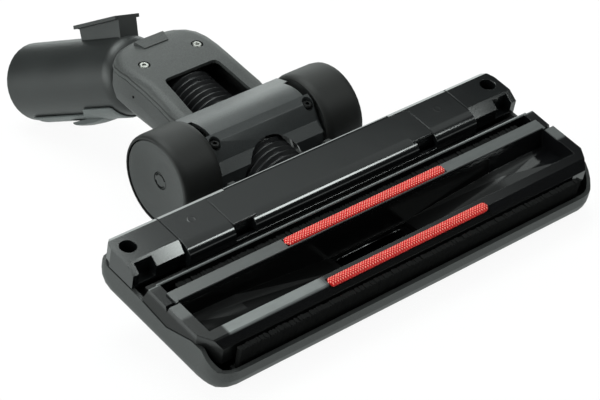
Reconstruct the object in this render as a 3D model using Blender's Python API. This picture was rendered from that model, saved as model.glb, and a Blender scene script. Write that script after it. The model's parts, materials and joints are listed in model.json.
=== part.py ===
"""Combination floor brush for a vacuum cleaner, lying on its back with the sole up.

The head is modelled in a frame of its own: X across the head, Y from its front lip to the rear,
Z up out of the sole. Sizes are in millimetres there. At the end the whole assembly is tipped about
X until it rests on the floor as it does on a table, on its top cover and the end of its tube.
"""
import math

import bmesh
import bpy
from mathutils import Matrix, Vector

MM = 0.001                    # metres in a millimetre
CLEARANCE = 0.3               # gap between pieces that touch
THROUGH = 2.0                 # how far a cutter runs past the wall it opens

# Head
HEAD_WIDTH = 272.0
SOLE_Z = 50.0                 # height of the gliding surface in the head's frame
WALL = 2.4                    # usual wall of the mouldings

# Top cover, the shell that faces the floor here
COVER_FRONT = -11.0
COVER_REAR = 88.0
COVER_BOTTOM = 20.0           # height of its outside at the front and at both ends
COVER_FRONT_CORNER = 14.0     # plan radius of the front corners
COVER_REAR_CORNER = 6.0
COVER_EDGE = 9.0              # radius between its sides and its outside face
HUMP_DROP = 25.5              # how much lower the middle is at the rear, round the duct
HUMP_FLAT = 46.0              # half width of the full hump
HUMP_END = 84.0               # half width where the hump has died out
RIM_FRONT = 35.0              # height of the rim along the front
RIM_SHOULDER = 43.5           # height of the rim beside the front corners
RIM_REAR = 38.5
CHEEK_SET = 0.4               # how far the sole's ends stay inside the cover's outside

# Sole plate
SOLE_HALF = HEAD_WIDTH / 2 - WALL - CLEARANCE
CHEEK_HALF = HEAD_WIDTH / 2 - CHEEK_SET
CHEEK_THICK = 4.3
MOUTH_HALF = SOLE_HALF - CHEEK_THICK     # half width of the suction mouth
MOUTH_FRONT = 6.5
MOUTH_REAR = 33.5
NOSE_FRONT = -3.0             # front wall of the sole
NOSE_EDGE_Z = 46.0            # lower edge of the chamfer on the front lip
NOSE_CHAMFER_Y = 2.0          # where the chamfer meets the gliding surface
LIP_REAR = 40.0               # rear face of the rear lip
RAIL_FRONT = 47.0             # thin rail behind the rear bristles
RAIL_THICK = 1.3
RAIL_TOP = 49.4
FLANGE_REAR = 56.0            # floor of the trough between rail and bar
FLANGE_Z = 41.0
THROAT_HALF = 27.0
THROAT_FRONT = 15.0
THROAT_REAR = 30.0

# Lint strips
STRIP_HALF = 56.0
STRIP_SEAT = 0.8              # depth of the recess that a lint strip lies in
STRIP_RISE = 0.7              # how far it stands proud

# Bar across the rear of the sole
BAR_TOP = 51.2
BAR_REAR = 87.0
BAR_FLAT_FRONT = 65.0         # where the flat top turns down to the front
BAR_NOSE = FLANGE_REAR + CLEARANCE
BAR_ROLL_DROP = 6.2           # height of the rounded front edge
BLOCK_LENGTH = 31.0
BLOCK_SEAM = 0.6              # visible seam between bar and end blocks
BAR_HALF = SOLE_HALF - BLOCK_LENGTH - BLOCK_SEAM
INSERT_SHOULDER = 30.7        # length of the bar beside the insert
INSERT_HALF = BAR_HALF - INSERT_SHOULDER
INSERT_TAB = 13.0             # length of the tab at each end of the insert
INSERT_TAB_FRONT = 60.6
INSERT_TAB_REAR = 83.4
INSERT_TONGUE = INSERT_HALF - INSERT_TAB
INSERT_BASE_Z = 43.0
BLOCK_FRONT = 60.0
FACET_Z = 47.3                # lower edge of the facet on the end blocks
POCKET_START = 18.3           # where the end block's pocket starts, from its inner end
HOLE_INSET = 6.1
HOLE_X = SOLE_HALF - HOLE_INSET
HOLE_Y = 76.0
HOLE_RADIUS = 4.6
HOLE_FLOOR_Z = 42.5

# Retracting bristles
BRISTLE_FRONT_TIP = 45.5
BRISTLE_REAR_TIP = 47.0
BRISTLE_FOOT_Z = 32.0
FRAME_BOTTOM = 26.5
FRAME_INSET = 8.0
FRAME_HALF = MOUTH_HALF - FRAME_INSET
FRAME_ARM = 8.0               # width of the two links between front and rear rail

# Pedal in the top cover
PEDAL_HALF = 32.0
PEDAL_FRONT = -0.5
PEDAL_REAR = 11.0
PEDAL_THICK = 3.2
PEDAL_ARM = 5.0
HINGE_Y = 31.5                # axis of the pedal
HINGE_Z = 15.6
HINGE_PIN_RADIUS = 1.5
HINGE_EYE_RADIUS = 2.8

# Suction path
DUCT_Z = 17.0                 # height of the duct, the hose and the swivel axis
HOSE_RADIUS = 19.2
HOSE_WALL = 1.1
HOSE_BORE = 15.6
HOSE_PITCH = 3.9
HOSE_RISE = 1.0               # how far it bows up before the axle
HOSE_SAG = -0.6               # and down inside the neck
HOSE_START = 94.6
HOSE_END = 189.6
DUCT_RADIUS = 18.9

# Wheels and axle
AXLE_Y = 131.4
AXLE_Z = 22.4
AXLE_RADIUS = 3.5
WHEEL_RADIUS = 27.3
WHEEL_INNER = 37.4            # distance of the wheel's inner face from the middle
WHEEL_OUTER = 63.6
WHEEL_DISH = 3.2              # how far the middle of the disc lies inside its rim
DISC_RADIUS = 24.6
HUB_RADIUS = 5.2
ARM_INNER = 32.4              # arms of the carriage
ARM_OUTER = 36.4
ARM_BOSS = 9.0
HOUSING_WALL = 2.2
HOUSING_SCREW_X = 33.0
HOUSING_SCREW_HOLE = 3.35
HOUSING_SCREW_Y = 122.2

# Neck
NECK_FRONT = 146.5
NECK_REAR = 227.5
NECK_FORK_INNER = 26.5
NECK_FORK_OUTER = 31.6
NECK_WALL = 2.2
NECK_BOTTOM = -5.5
WINDOW_REAR = 184.8
WINDOW_HALF_FRONT = 21.6
WINDOW_HALF_REAR = 19.1
NECK_SCREW_X = 19.0
NECK_SCREW_Y = 201.9
BEARING_FRONT = 197.3
BEARING_REAR = 201.3
SLEEVE_FRONT = 194.2
SLEEVE_RADIUS = 16.0
SLEEVE_BORE = 13.6
SLEEVE_FLANGE = 17.9

# Connecting tube, measured along its own axis from the bend
BEND_Y = 211.0
BEND_ANGLE = 36.0             # degrees between the neck and the tube
BEND_RADIUS = 20.0
SWIVEL_REST = 15.0            # degrees that the tube is turned to the left at rest
TUBE_RADIUS = 23.5
TUBE_LENGTH = 110.0
TUBE_SHOULDER = 14.0          # where the shoulder starts
SOCKET_BORE = 17.7            # for a 35 mm wand
SOCKET_DEPTH = 62.0
HOOK_START = 20.5
HOOK_END = 56.0
HOOK_HALF = 7.0
HOOK_TOP = 31.5
HOOK_RISE = 3.4               # how much higher its lips stand at the bend
HOOK_LIP = 2.4
HOOK_WALL = 1.8
SADDLE_START = 24.0
SADDLE_STEP = 49.0            # where the saddle turns narrower
SADDLE_END = 101.0
SADDLE_ANGLE = 31.0           # degrees to each side of the middle
SADDLE_WIDE_ANGLE = 45.0
SADDLE_THICK = 1.2
LEVER_START = 43.0
LEVER_PIVOT = 54.0
LEVER_END = 71.0
LEVER_HALF = 8.0
LEVER_BACK = 4.3
CATCH_START = 46.0
CATCH_LENGTH = 3.5
CATCH_HALF = 4.5


def material(name, colour, roughness, metallic=0.0):
    """A Principled material with a plain colour."""
    made = bpy.data.materials.new(name)
    made.use_nodes = True
    shader = made.node_tree.nodes["Principled BSDF"]
    shader.inputs["Base Color"].default_value = (*colour, 1.0)
    shader.inputs["Roughness"].default_value = roughness
    shader.inputs["Metallic"].default_value = metallic
    made.diffuse_color = (*colour, 1.0)
    return made


def prism(points, axis, low, high):
    """A polygon extruded along an axis. Its points lie in the plane of the other two axes."""
    place = {
        "X": lambda a, b: (low, a, b),
        "Y": lambda a, b: (a, low, b),
        "Z": lambda a, b: (a, b, low),
    }[axis]
    bm = bmesh.new()
    face = bm.faces.new([bm.verts.new(place(a, b)) for a, b in points])
    grown = bmesh.ops.extrude_face_region(bm, geom=[face])
    moved = [v for v in grown["geom"] if isinstance(v, bmesh.types.BMVert)]
    step = Vector([high - low if axis == name else 0.0 for name in "XYZ"])
    bmesh.ops.translate(bm, verts=moved, vec=step)
    bmesh.ops.recalc_face_normals(bm, faces=bm.faces)
    return bm


def box(low, high):
    """A block between two corners."""
    (x0, y0, z0), (x1, y1, z1) = low, high
    return prism([(y0, z0), (y1, z0), (y1, z1), (y0, z1)], "X", x0, x1)


def loft(loops):
    """A closed solid through loops of equally many points, with flat ends."""
    bm = bmesh.new()
    rings = [[bm.verts.new(p) for p in loop] for loop in loops]
    count = len(rings[0])
    for ring, following in zip(rings, rings[1:]):
        for i in range(count):
            j = (i + 1) % count
            bm.faces.new((ring[i], ring[j], following[j], following[i]))
    bm.faces.new(rings[0])
    bm.faces.new(rings[-1][::-1])
    bmesh.ops.recalc_face_normals(bm, faces=bm.faces)
    return bm


def pipe(outer, inner):
    """A walled tube through outer loops and inner loops of equally many points."""
    bm = bmesh.new()
    rings = [[bm.verts.new(p) for p in loop] for loop in outer + inner[::-1]]
    count = len(rings[0])
    for ring, following in zip(rings, rings[1:] + rings[:1]):
        for i in range(count):
            j = (i + 1) % count
            bm.faces.new((ring[i], ring[j], following[j], following[i]))
    bmesh.ops.recalc_face_normals(bm, faces=bm.faces)
    return bm


def circle(centre, across, up, radius, steps):
    """Points of a circle in the plane of two unit vectors."""
    turns = [2 * math.pi * i / steps for i in range(steps)]
    return [centre + radius * (math.cos(t) * across + math.sin(t) * up) for t in turns]


def turned(profile, centre, axis, steps):
    """A solid of revolution. The profile is (distance along the axis, radius), from end to end."""
    directions = {"X": Vector((1, 0, 0)), "Y": Vector((0, 1, 0)), "Z": Vector((0, 0, 1))}
    along = directions[axis]
    across = directions[{"X": "Y", "Y": "Z", "Z": "X"}[axis]]
    up = along.cross(across)
    loops = [circle(Vector(centre) + a * along, across, up, r, steps) for a, r in profile]
    return loft(loops)


def ring(profile, bore, centre, axis, steps):
    """A solid of revolution with a bore: outer and inner profiles of (distance, radius)."""
    directions = {"X": Vector((1, 0, 0)), "Y": Vector((0, 1, 0)), "Z": Vector((0, 0, 1))}
    along = directions[axis]
    across = directions[{"X": "Y", "Y": "Z", "Z": "X"}[axis]]
    up = along.cross(across)
    outer = [circle(Vector(centre) + a * along, across, up, r, steps) for a, r in profile]
    inner = [circle(Vector(centre) + a * along, across, up, r, steps) for a, r in bore]
    return pipe(outer, inner)


def combine(base, tool, operation):
    """One bmesh cut by, or joined to, another. Both are used up."""
    pair = []
    for name, bm in (("base", base), ("tool", tool)):
        mesh = bpy.data.meshes.new(name)
        bm.to_mesh(mesh)
        bm.free()
        obj = bpy.data.objects.new(name, mesh)
        bpy.context.scene.collection.objects.link(obj)
        pair.append(obj)
    modifier = pair[0].modifiers.new("Boolean", "BOOLEAN")
    modifier.object = pair[1]
    modifier.operation = operation
    modifier.solver = "EXACT"
    graph = bpy.context.evaluated_depsgraph_get()
    result = bmesh.new()
    result.from_mesh(pair[0].evaluated_get(graph).to_mesh())
    for obj in pair:
        mesh = obj.data
        bpy.data.objects.remove(obj)
        bpy.data.meshes.remove(mesh)
    return result


def cut(base, *tools):
    for tool in tools:
        base = combine(base, tool, "DIFFERENCE")
    return base


def join(base, *tools):
    for tool in tools:
        base = combine(base, tool, "UNION")
    return base


def mirrored(points):
    """Points (a, b) of one side, followed by those of the other side with a turned round."""
    return points + [(-a, b) for a, b in reversed(points)]


def empty(name, parent, place=(0.0, 0.0, 0.0)):
    """An empty at a place given in its parent's frame, in millimetres."""
    made = bpy.data.objects.new(name, None)
    made.parent = parent
    made.location = Vector(place) * MM
    bpy.context.scene.collection.objects.link(made)
    return made


def add(name, bm, finish, parent, pivot=(0.0, 0.0, 0.0)):
    """An object from a bmesh in millimetres, with its origin at a point of its parent's frame."""
    bmesh.ops.remove_doubles(bm, verts=bm.verts, dist=0.0005)
    bmesh.ops.translate(bm, verts=bm.verts, vec=-Vector(pivot))
    bmesh.ops.scale(bm, verts=bm.verts, vec=(MM, MM, MM))
    mesh = bpy.data.meshes.new(name)
    bm.to_mesh(mesh)
    bm.free()
    mesh.materials.append(finish)
    mesh.shade_smooth()
    mesh.set_sharp_from_angle(angle=math.radians(32))
    obj = bpy.data.objects.new(name, mesh)
    obj.parent = parent
    obj.location = Vector(pivot) * MM
    bpy.context.scene.collection.objects.link(obj)
    return obj


def hump(x):
    """1 over the duct, easing to 0 towards the ends of the cover."""
    t = min(max((HUMP_END - abs(x)) / (HUMP_END - HUMP_FLAT), 0.0), 1.0)
    return t * t * (3 - 2 * t)


def cover_outside_z(y, x=0.0):
    """Height of the cover's outside face on its slope."""
    front = COVER_FRONT + COVER_EDGE
    rear = COVER_REAR - COVER_EDGE
    share = min(max((y - front) / (rear - front), 0.0), 1.0)
    return COVER_BOTTOM - HUMP_DROP * hump(x) * share


def cover_section(x, inset):
    """Outline of the cover at one x, as (y, z) points, shrunk by inset for the inside."""
    half = HEAD_WIDTH / 2 - inset
    edge = COVER_EDGE - inset
    ends = []
    for corner in (COVER_FRONT_CORNER - inset, COVER_REAR_CORNER - inset):
        past = min(max(abs(x) - (half - corner), 0.0), corner)
        ends.append(corner - math.sqrt(corner ** 2 - past ** 2))
    past = min(max(abs(x) - (half - edge), 0.0), edge)
    rise = inset + edge - math.sqrt(edge ** 2 - past ** 2)
    front = COVER_FRONT + inset + ends[0]
    rear = COVER_REAR - inset - ends[1]
    low_front = COVER_BOTTOM + rise
    low_rear = low_front - HUMP_DROP * hump(x)
    top = SOLE_Z + 2 * THROUGH if inset == 0 else SOLE_Z + 4 * THROUGH
    points = [(front, top)]
    for angle in (180, 210, 240, 270):
        turn = math.radians(angle)
        points.append((front + edge * (1 + math.cos(turn)), low_front + edge * (1 + math.sin(turn))))
    for angle in (270, 300, 330, 360):
        turn = math.radians(angle)
        points.append((rear - edge * (1 - math.cos(turn)), low_rear + edge * (1 + math.sin(turn))))
    points.append((rear, top))
    return points


def cover_solid(inset):
    half = HEAD_WIDTH / 2 - inset
    corner = COVER_FRONT_CORNER - inset
    humps = [HUMP_FLAT + (HUMP_END - HUMP_FLAT) * i / 5 for i in range(6)]
    rounds = [half - corner + corner * math.sin(math.radians(a)) for a in (0, 20, 36, 50, 64, 78, 90)]
    side = sorted({round(x, 3) for x in [HUMP_FLAT / 2, (HUMP_END + half - corner) / 2, *humps, *rounds]})
    stations = [-x for x in reversed(side)] + [0.0] + side
    return loft([[Vector((x, y, z)) for y, z in cover_section(x, inset)] for x in stations])


def top_cover(finish, parent):
    """The moulded tray: an outside slope down to the duct, thin walls and a stepped rim."""
    bm = cut(cover_solid(0.0), cover_solid(WALL))
    reach = HEAD_WIDTH / 2 + THROUGH
    high = SOLE_Z + 6 * THROUGH
    rim = [
        (COVER_FRONT - THROUGH, RIM_FRONT),
        (NOSE_FRONT - 3.0, RIM_FRONT),
        (NOSE_CHAMFER_Y + 2.0, RIM_SHOULDER),
        (NOSE_CHAMFER_Y + 10.0, RIM_SHOULDER - 0.2),
        (MOUTH_REAR - 2.5, 36.5),
        (FLANGE_REAR, RIM_REAR),
        (COVER_REAR + THROUGH, RIM_REAR),
        (COVER_REAR + THROUGH, high),
        (COVER_FRONT - THROUGH, high),
    ]
    bm = cut(bm, prism(rim, "X", -reach, reach))
    slope_low = cover_outside_z(PEDAL_REAR) - 3 * THROUGH
    window_rear = PEDAL_REAR + CLEARANCE
    window = box(
        (-PEDAL_HALF - CLEARANCE, PEDAL_FRONT - CLEARANCE, slope_low),
        (PEDAL_HALF + CLEARANCE, window_rear, cover_outside_z(PEDAL_FRONT) + 2 * THROUGH),
    )
    exit_hole = turned(
        [(COVER_REAR - 3 * WALL, DUCT_RADIUS + CLEARANCE), (COVER_REAR + THROUGH, DUCT_RADIUS + CLEARANCE)],
        (0, 0, DUCT_Z), "Y", 32,
    )
    bm = cut(bm, window, exit_hole)
    for side in (-1, 1):
        post = turned([(COVER_BOTTOM + WALL / 2, 3.8), (RIM_REAR, 3.8)], (side * HOLE_X, HOLE_Y, 0), "Z", 20)
        bore = turned([(COVER_BOTTOM + 2 * WALL, 1.9), (RIM_REAR + THROUGH, 1.9)],
                      (side * HOLE_X, HOLE_Y, 0), "Z", 12)
        bm = cut(join(bm, post), bore)
        inner = PEDAL_HALF + PEDAL_ARM + 2 * CLEARANCE
        floor = cover_outside_z(HINGE_Y) + WALL / 2
        ear = [
            (HINGE_Y - 4.0, floor),
            (HINGE_Y - HINGE_EYE_RADIUS, HINGE_Z + 0.5),
            (HINGE_Y - HINGE_EYE_RADIUS + 1.0, HINGE_Z + HINGE_EYE_RADIUS),
            (HINGE_Y + HINGE_EYE_RADIUS - 1.0, HINGE_Z + HINGE_EYE_RADIUS),
            (HINGE_Y + HINGE_EYE_RADIUS, HINGE_Z + 0.5),
            (HINGE_Y + 4.0, floor - 1.2),
        ]
        low, high_x = sorted((side * inner, side * (inner + 3.0)))
        bm = join(bm, prism(ear, "X", low, high_x))
        bore = turned(
            [(low - THROUGH, HINGE_PIN_RADIUS + CLEARANCE), (high_x + THROUGH, HINGE_PIN_RADIUS + CLEARANCE)],
            (0, HINGE_Y, HINGE_Z), "X", 12,
        )
        bm = cut(bm, bore)
    return add("top_cover", bm, finish, parent)


def channel_sections(lower, spread):
    """Cross-sections of the suction channel from the middle to one end: x and (y, z) points."""
    shapes = [
        (THROAT_HALF + 3.0, (17.0, 33.0), (18.5, 32.0), (31.0, 30.0)),
        (MOUTH_HALF - 36.0, (16.0, 37.5), (24.5, 36.8), (30.5, 37.2)),
        (MOUTH_HALF, (13.0, 41.0), (27.0, 38.6), (30.0, 38.6)),
    ]
    sections = []
    for x, front, crease, rear in shapes:
        points = [
            (MOUTH_FRONT - spread, SOLE_Z + (THROUGH if lower == 0 else -4.0)),
            (front[0] - spread, front[1] - lower),
            (crease[0], crease[1] - lower),
            (rear[0] + spread, rear[1] - lower),
            (MOUTH_REAR + spread, SOLE_Z + (THROUGH if lower == 0 else -4.0)),
        ]
        sections.append((x, points))
    return sections


def channel_solid(lower, spread, end):
    right = channel_sections(lower, spread)
    right[-1] = (right[-1][0] + end, right[-1][1])
    both = [(-x, points) for x, points in reversed(right)] + right
    return loft([[Vector((x, y, z)) for y, z in points] for x, points in both])


def sole_plate(finish, parent):
    """The gliding sole: front lip, suction channel with its creases, rear lip, rail and end cheeks."""
    overlap = 1.5
    nose = [
        (NOSE_FRONT, RIM_FRONT + 1.0),
        (NOSE_FRONT, NOSE_EDGE_Z),
        (NOSE_CHAMFER_Y, SOLE_Z),
        (MOUTH_FRONT + overlap, SOLE_Z),
        (MOUTH_FRONT + overlap, SOLE_Z - 5.0),
        (NOSE_FRONT + WALL, RIM_FRONT + 1.0),
    ]
    rear_lip = [
        (MOUTH_REAR - overlap, SOLE_Z),
        (LIP_REAR, SOLE_Z),
        (LIP_REAR, RIM_FRONT + 1.5),
        (LIP_REAR - WALL, RIM_FRONT + 1.5),
        (MOUTH_REAR - overlap, SOLE_Z - 9.0),
    ]
    rail = [
        (RAIL_FRONT, RIM_REAR + CLEARANCE),
        (RAIL_FRONT, RAIL_TOP - 0.4),
        (RAIL_FRONT + 0.4, RAIL_TOP),
        (RAIL_FRONT + RAIL_THICK, RAIL_TOP - 0.2),
        (RAIL_FRONT + RAIL_THICK, FLANGE_Z),
        (FLANGE_REAR, FLANGE_Z),
        (FLANGE_REAR, RIM_REAR + CLEARANCE),
    ]
    cheek = [
        (NOSE_FRONT, RIM_FRONT + 2.5),
        (NOSE_FRONT, NOSE_EDGE_Z),
        (NOSE_CHAMFER_Y, SOLE_Z),
        (31.0, SOLE_Z),
        (32.4, 45.6),
        (33.8, 48.7),
        (RAIL_FRONT + 0.4, 49.1),
        (RAIL_FRONT + 4.6, RIM_REAR + 1.5),
        (RAIL_FRONT + 4.6, RIM_REAR - 3.0),
        (LIP_REAR, RIM_REAR - 4.0),
        (MOUTH_FRONT, RIM_REAR - 4.0),
    ]
    inner = MOUTH_HALF + overlap
    bm = prism(nose, "X", -inner, inner)
    bm = join(bm, channel_solid(WALL, WALL, overlap))
    bm = join(bm, prism(rear_lip, "X", -inner, inner))
    bm = join(bm, prism(rail, "X", -inner, inner))
    seat = CLEARANCE + 0.05
    over_rim = [(y, z) for y, z in cheek if z > SOLE_Z - 8.0]
    over_rim += [
        (RAIL_FRONT + 2.9, 42.6), (RAIL_FRONT + 4.6, RIM_REAR + 1.5), (RAIL_FRONT + 4.6, RIM_REAR + seat),
        (MOUTH_REAR - 2.5, 36.5 + seat + 0.2), (NOSE_CHAMFER_Y + 10.0, RIM_SHOULDER + seat),
        (NOSE_CHAMFER_Y + 2.0, RIM_SHOULDER + seat + 0.2), (NOSE_FRONT, RIM_SHOULDER - 3.6),
    ]
    for side in (-1, 1):
        low, high = sorted((side * MOUTH_HALF, side * SOLE_HALF))
        bm = join(bm, prism(cheek, "X", low, high))
        low, high = sorted((side * (SOLE_HALF - 1.0), side * CHEEK_HALF))
        bm = join(bm, prism(over_rim, "X", low, high))
    bm = cut(bm, channel_solid(0.0, 0.0, 0.0))
    throat = box((-THROAT_HALF, THROAT_FRONT, 20.0), (THROAT_HALF, THROAT_REAR, 40.0))
    bm = cut(bm, throat)
    for side in (-1, 1):
        corner = [
            (side * (CHEEK_HALF + THROUGH), MOUTH_FRONT + 4.4),
            (side * CHEEK_HALF, MOUTH_FRONT + 2.5),
            (side * (SOLE_HALF - 1.4), MOUTH_FRONT - 3.4),
            (side * (MOUTH_HALF - 1.0), NOSE_FRONT - 0.2),
            (side * (MOUTH_HALF - 1.0), NOSE_FRONT - THROUGH),
            (side * (CHEEK_HALF + THROUGH), NOSE_FRONT - THROUGH),
        ]
        bm = cut(bm, prism(corner, "Z", 20.0, SOLE_Z + THROUGH))
    bm = cut(bm, *lint_seats())
    return add("sole_plate", bm, finish, parent)


def front_strip_profile(low, high):
    """The strip over the chamfer of the front lip, between two depths measured from its surface."""
    lean = math.atan2(SOLE_Z - NOSE_EDGE_Z, NOSE_CHAMFER_Y - NOSE_FRONT)
    normal = (-math.sin(lean), math.cos(lean))
    start = (NOSE_FRONT + 0.2, NOSE_EDGE_Z + 0.2 * math.tan(lean))
    knee = math.tan(lean / 2)
    rear = MOUTH_FRONT - 1.3
    line = []
    for depth in (low, high):
        line.append([
            (start[0] + depth * normal[0], start[1] + depth * normal[1]),
            (NOSE_CHAMFER_Y - depth * knee, SOLE_Z + depth),
            (rear, SOLE_Z + depth),
        ])
    return line[0] + line[1][::-1]


def rear_strip_profile(low, high):
    front = MOUTH_REAR + 0.3
    rear = LIP_REAR - 0.3
    return [(front, SOLE_Z + low), (rear, SOLE_Z + low), (rear, SOLE_Z + high), (front, SOLE_Z + high)]


def lint_seats():
    """Cutters for the recesses that hold the two lint strips."""
    half = STRIP_HALF + CLEARANCE
    return [
        prism(front_strip_profile(-STRIP_SEAT, THROUGH), "X", -half, half),
        prism(rear_strip_profile(-STRIP_SEAT, THROUGH), "X", -half, half),
    ]


def lint_strips(finish, parent):
    seat = CLEARANCE - STRIP_SEAT
    add("front_lint_strip", prism(front_strip_profile(seat, STRIP_RISE), "X", -STRIP_HALF, STRIP_HALF),
        finish, parent)
    add("rear_lint_strip", prism(rear_strip_profile(seat, STRIP_RISE), "X", -STRIP_HALF, STRIP_HALF),
        finish, parent)


def bar_profile(inset):
    """Outline of the rear bar: flat top, rolled front and a small radius at the rear."""
    foot = RIM_REAR + CLEARANCE
    roll = BAR_FLAT_FRONT - BAR_NOSE
    drop = BAR_ROLL_DROP
    points = [(BAR_REAR - inset, foot - (THROUGH if inset else 0.0))]
    for angle in (0, 45, 90):
        turn = math.radians(angle)
        radius = 3.0 - inset / 2
        points.append((
            BAR_REAR - inset - radius * (1 - math.cos(turn)),
            BAR_TOP - inset * 1.9 - radius * (1 - math.sin(turn)),
        ))
    for angle in (0, 18, 36, 54, 72, 90):
        turn = math.radians(angle)
        points.append((
            BAR_FLAT_FRONT - (roll - inset) * math.sin(turn),
            BAR_TOP - drop + (drop - inset * 1.9) * math.cos(turn),
        ))
    points.append((BAR_NOSE + inset, foot - (THROUGH if inset else 0.0)))
    return points


def rear_bar(finish, parent):
    """The long bar behind the bristles, a shell open below, notched for the middle insert."""
    bm = prism(bar_profile(0.0), "X", -BAR_HALF, BAR_HALF)
    bm = cut(bm, prism(bar_profile(WALL), "X", -BAR_HALF + WALL, BAR_HALF - WALL))
    half = INSERT_HALF + CLEARANCE / 2
    tongue = INSERT_TONGUE + CLEARANCE / 2
    high = BAR_TOP + THROUGH
    notch = box((-half, BAR_NOSE - THROUGH, INSERT_BASE_Z), (half, INSERT_TAB_REAR + CLEARANCE, high))
    deep = box((-tongue, BAR_REAR - 5.0, INSERT_BASE_Z), (tongue, BAR_REAR + THROUGH, high))
    return add("rear_bar", cut(bm, notch, deep), finish, parent)


def rear_insert(finish, parent):
    """The middle section of the bar: a rolled cover with a flat tab at each end."""
    half = INSERT_HALF - CLEARANCE / 2
    tongue = INSERT_TONGUE - CLEARANCE / 2
    low = INSERT_BASE_Z + CLEARANCE
    bm = prism(bar_profile(0.0), "X", -tongue, tongue)
    bm = cut(bm, box((-half, BAR_NOSE - THROUGH, low - 20.0), (half, BAR_REAR + THROUGH, low)))
    tab = [
        (INSERT_TAB_FRONT, low), (INSERT_TAB_FRONT, BAR_TOP - 0.6), (INSERT_TAB_FRONT + 0.6, BAR_TOP),
        (INSERT_TAB_REAR, BAR_TOP), (INSERT_TAB_REAR, low),
    ]
    for side in (-1, 1):
        start, end = sorted((side * (tongue - WALL), side * half))
        bm = join(bm, prism(tab, "X", start, end))
    inside = box(
        (-half + WALL, INSERT_TAB_FRONT + WALL, low - THROUGH),
        (half - WALL, INSERT_TAB_REAR - WALL, BAR_TOP - WALL),
    )
    return add("rear_insert", cut(bm, inside), finish, parent)


def end_block(side, finish, parent):
    """The bar's end: a screw hole, a sloped facet and a pocket at its front."""
    foot = RIM_REAR + CLEARANCE
    inner = BAR_HALF + BLOCK_SEAM
    profile = [
        (BLOCK_FRONT, foot),
        (BLOCK_FRONT, FACET_Z),
        (BAR_FLAT_FRONT + 1.5, BAR_TOP),
        (BAR_REAR - 3.0, BAR_TOP),
        (BAR_REAR - 0.9, BAR_TOP - 0.9),
        (BAR_REAR, BAR_TOP - 3.0),
        (BAR_REAR, foot),
    ]
    low, high = sorted((side * inner, side * CHEEK_HALF))
    bm = prism(profile, "X", low, high)
    round_corner = [
        (side * (CHEEK_HALF + THROUGH), BAR_REAR - 9.0),
        (side * CHEEK_HALF, BAR_REAR - 8.0),
        (side * (CHEEK_HALF - 1.3), BAR_REAR - 3.6),
        (side * (CHEEK_HALF - 4.4), BAR_REAR - 0.6),
        (side * (CHEEK_HALF - 8.0), BAR_REAR + 0.1),
        (side * (CHEEK_HALF - 8.0), BAR_REAR + THROUGH),
        (side * (CHEEK_HALF + THROUGH), BAR_REAR + THROUGH),
    ]
    bm = cut(bm, prism(round_corner, "Z", foot - THROUGH, BAR_TOP + THROUGH))
    low, high = sorted((side * (inner + POCKET_START), side * (SOLE_HALF - 1.6)))
    pocket = box((low, BLOCK_FRONT - THROUGH, foot + 1.8), (high, BAR_FLAT_FRONT + 0.2, BAR_TOP + THROUGH))
    hole = turned([(HOLE_FLOOR_Z, HOLE_RADIUS), (BAR_TOP + THROUGH, HOLE_RADIUS)],
                  (side * HOLE_X, HOLE_Y, 0), "Z", 24)
    bore = turned([(foot - THROUGH, 2.0), (HOLE_FLOOR_Z + 1.0, 2.0)], (side * HOLE_X, HOLE_Y, 0), "Z", 12)
    name = "end_block_left" if side < 0 else "end_block_right"
    return add(name, cut(bm, pocket, hole, bore), finish, parent)


def screw(name, place, head_radius, head_height, shank_radius, shank, finish, parent, pivot=(0, 0, 0)):
    """A screw with a six-lobe recess, its head upward."""
    x, y, z = place
    bm = turned(
        [
            (z - shank, shank_radius * 0.6), (z - shank + 1.0, shank_radius), (z, shank_radius),
            (z, head_radius), (z + head_height * 0.6, head_radius), (z + head_height, head_radius * 0.8),
        ],
        (x, y, 0), "Z", 18,
    )
    lobes = []
    for i in range(12):
        radius = head_radius * (0.52 if i % 2 == 0 else 0.36)
        lobes.append((x + radius * math.cos(math.pi * i / 6), y + radius * math.sin(math.pi * i / 6)))
    bm = cut(bm, prism(lobes, "Z", z + head_height * 0.35, z + head_height + THROUGH))
    return add(name, bm, finish, parent, pivot)


def bristle_strips(finish, parent):
    """The two bristle strips, retracted: their tips stay under the gliding surface."""
    front_low = COVER_FRONT + WALL + 2 * CLEARANCE
    front_high = NOSE_FRONT - 2 * CLEARANCE
    foot = BRISTLE_FOOT_Z
    front = [(front_low, foot), (front_high, foot), (front_high, BRISTLE_FRONT_TIP),
             (front_low + 0.9, BRISTLE_FRONT_TIP), (front_low, BRISTLE_FRONT_TIP - 6.0)]
    rear_low = LIP_REAR + 2 * CLEARANCE
    rear_high = RAIL_FRONT - 2 * CLEARANCE
    rear = [(rear_low, foot), (rear_high, foot), (rear_high, BRISTLE_REAR_TIP - 2.0),
            (rear_high - 1.2, BRISTLE_REAR_TIP), (rear_low + 1.2, BRISTLE_REAR_TIP),
            (rear_low, BRISTLE_REAR_TIP - 2.0)]
    add("front_bristles", prism(front, "X", -FRAME_HALF, FRAME_HALF), finish, parent)
    add("rear_bristles", prism(rear, "X", -FRAME_HALF, FRAME_HALF), finish, parent)


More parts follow.
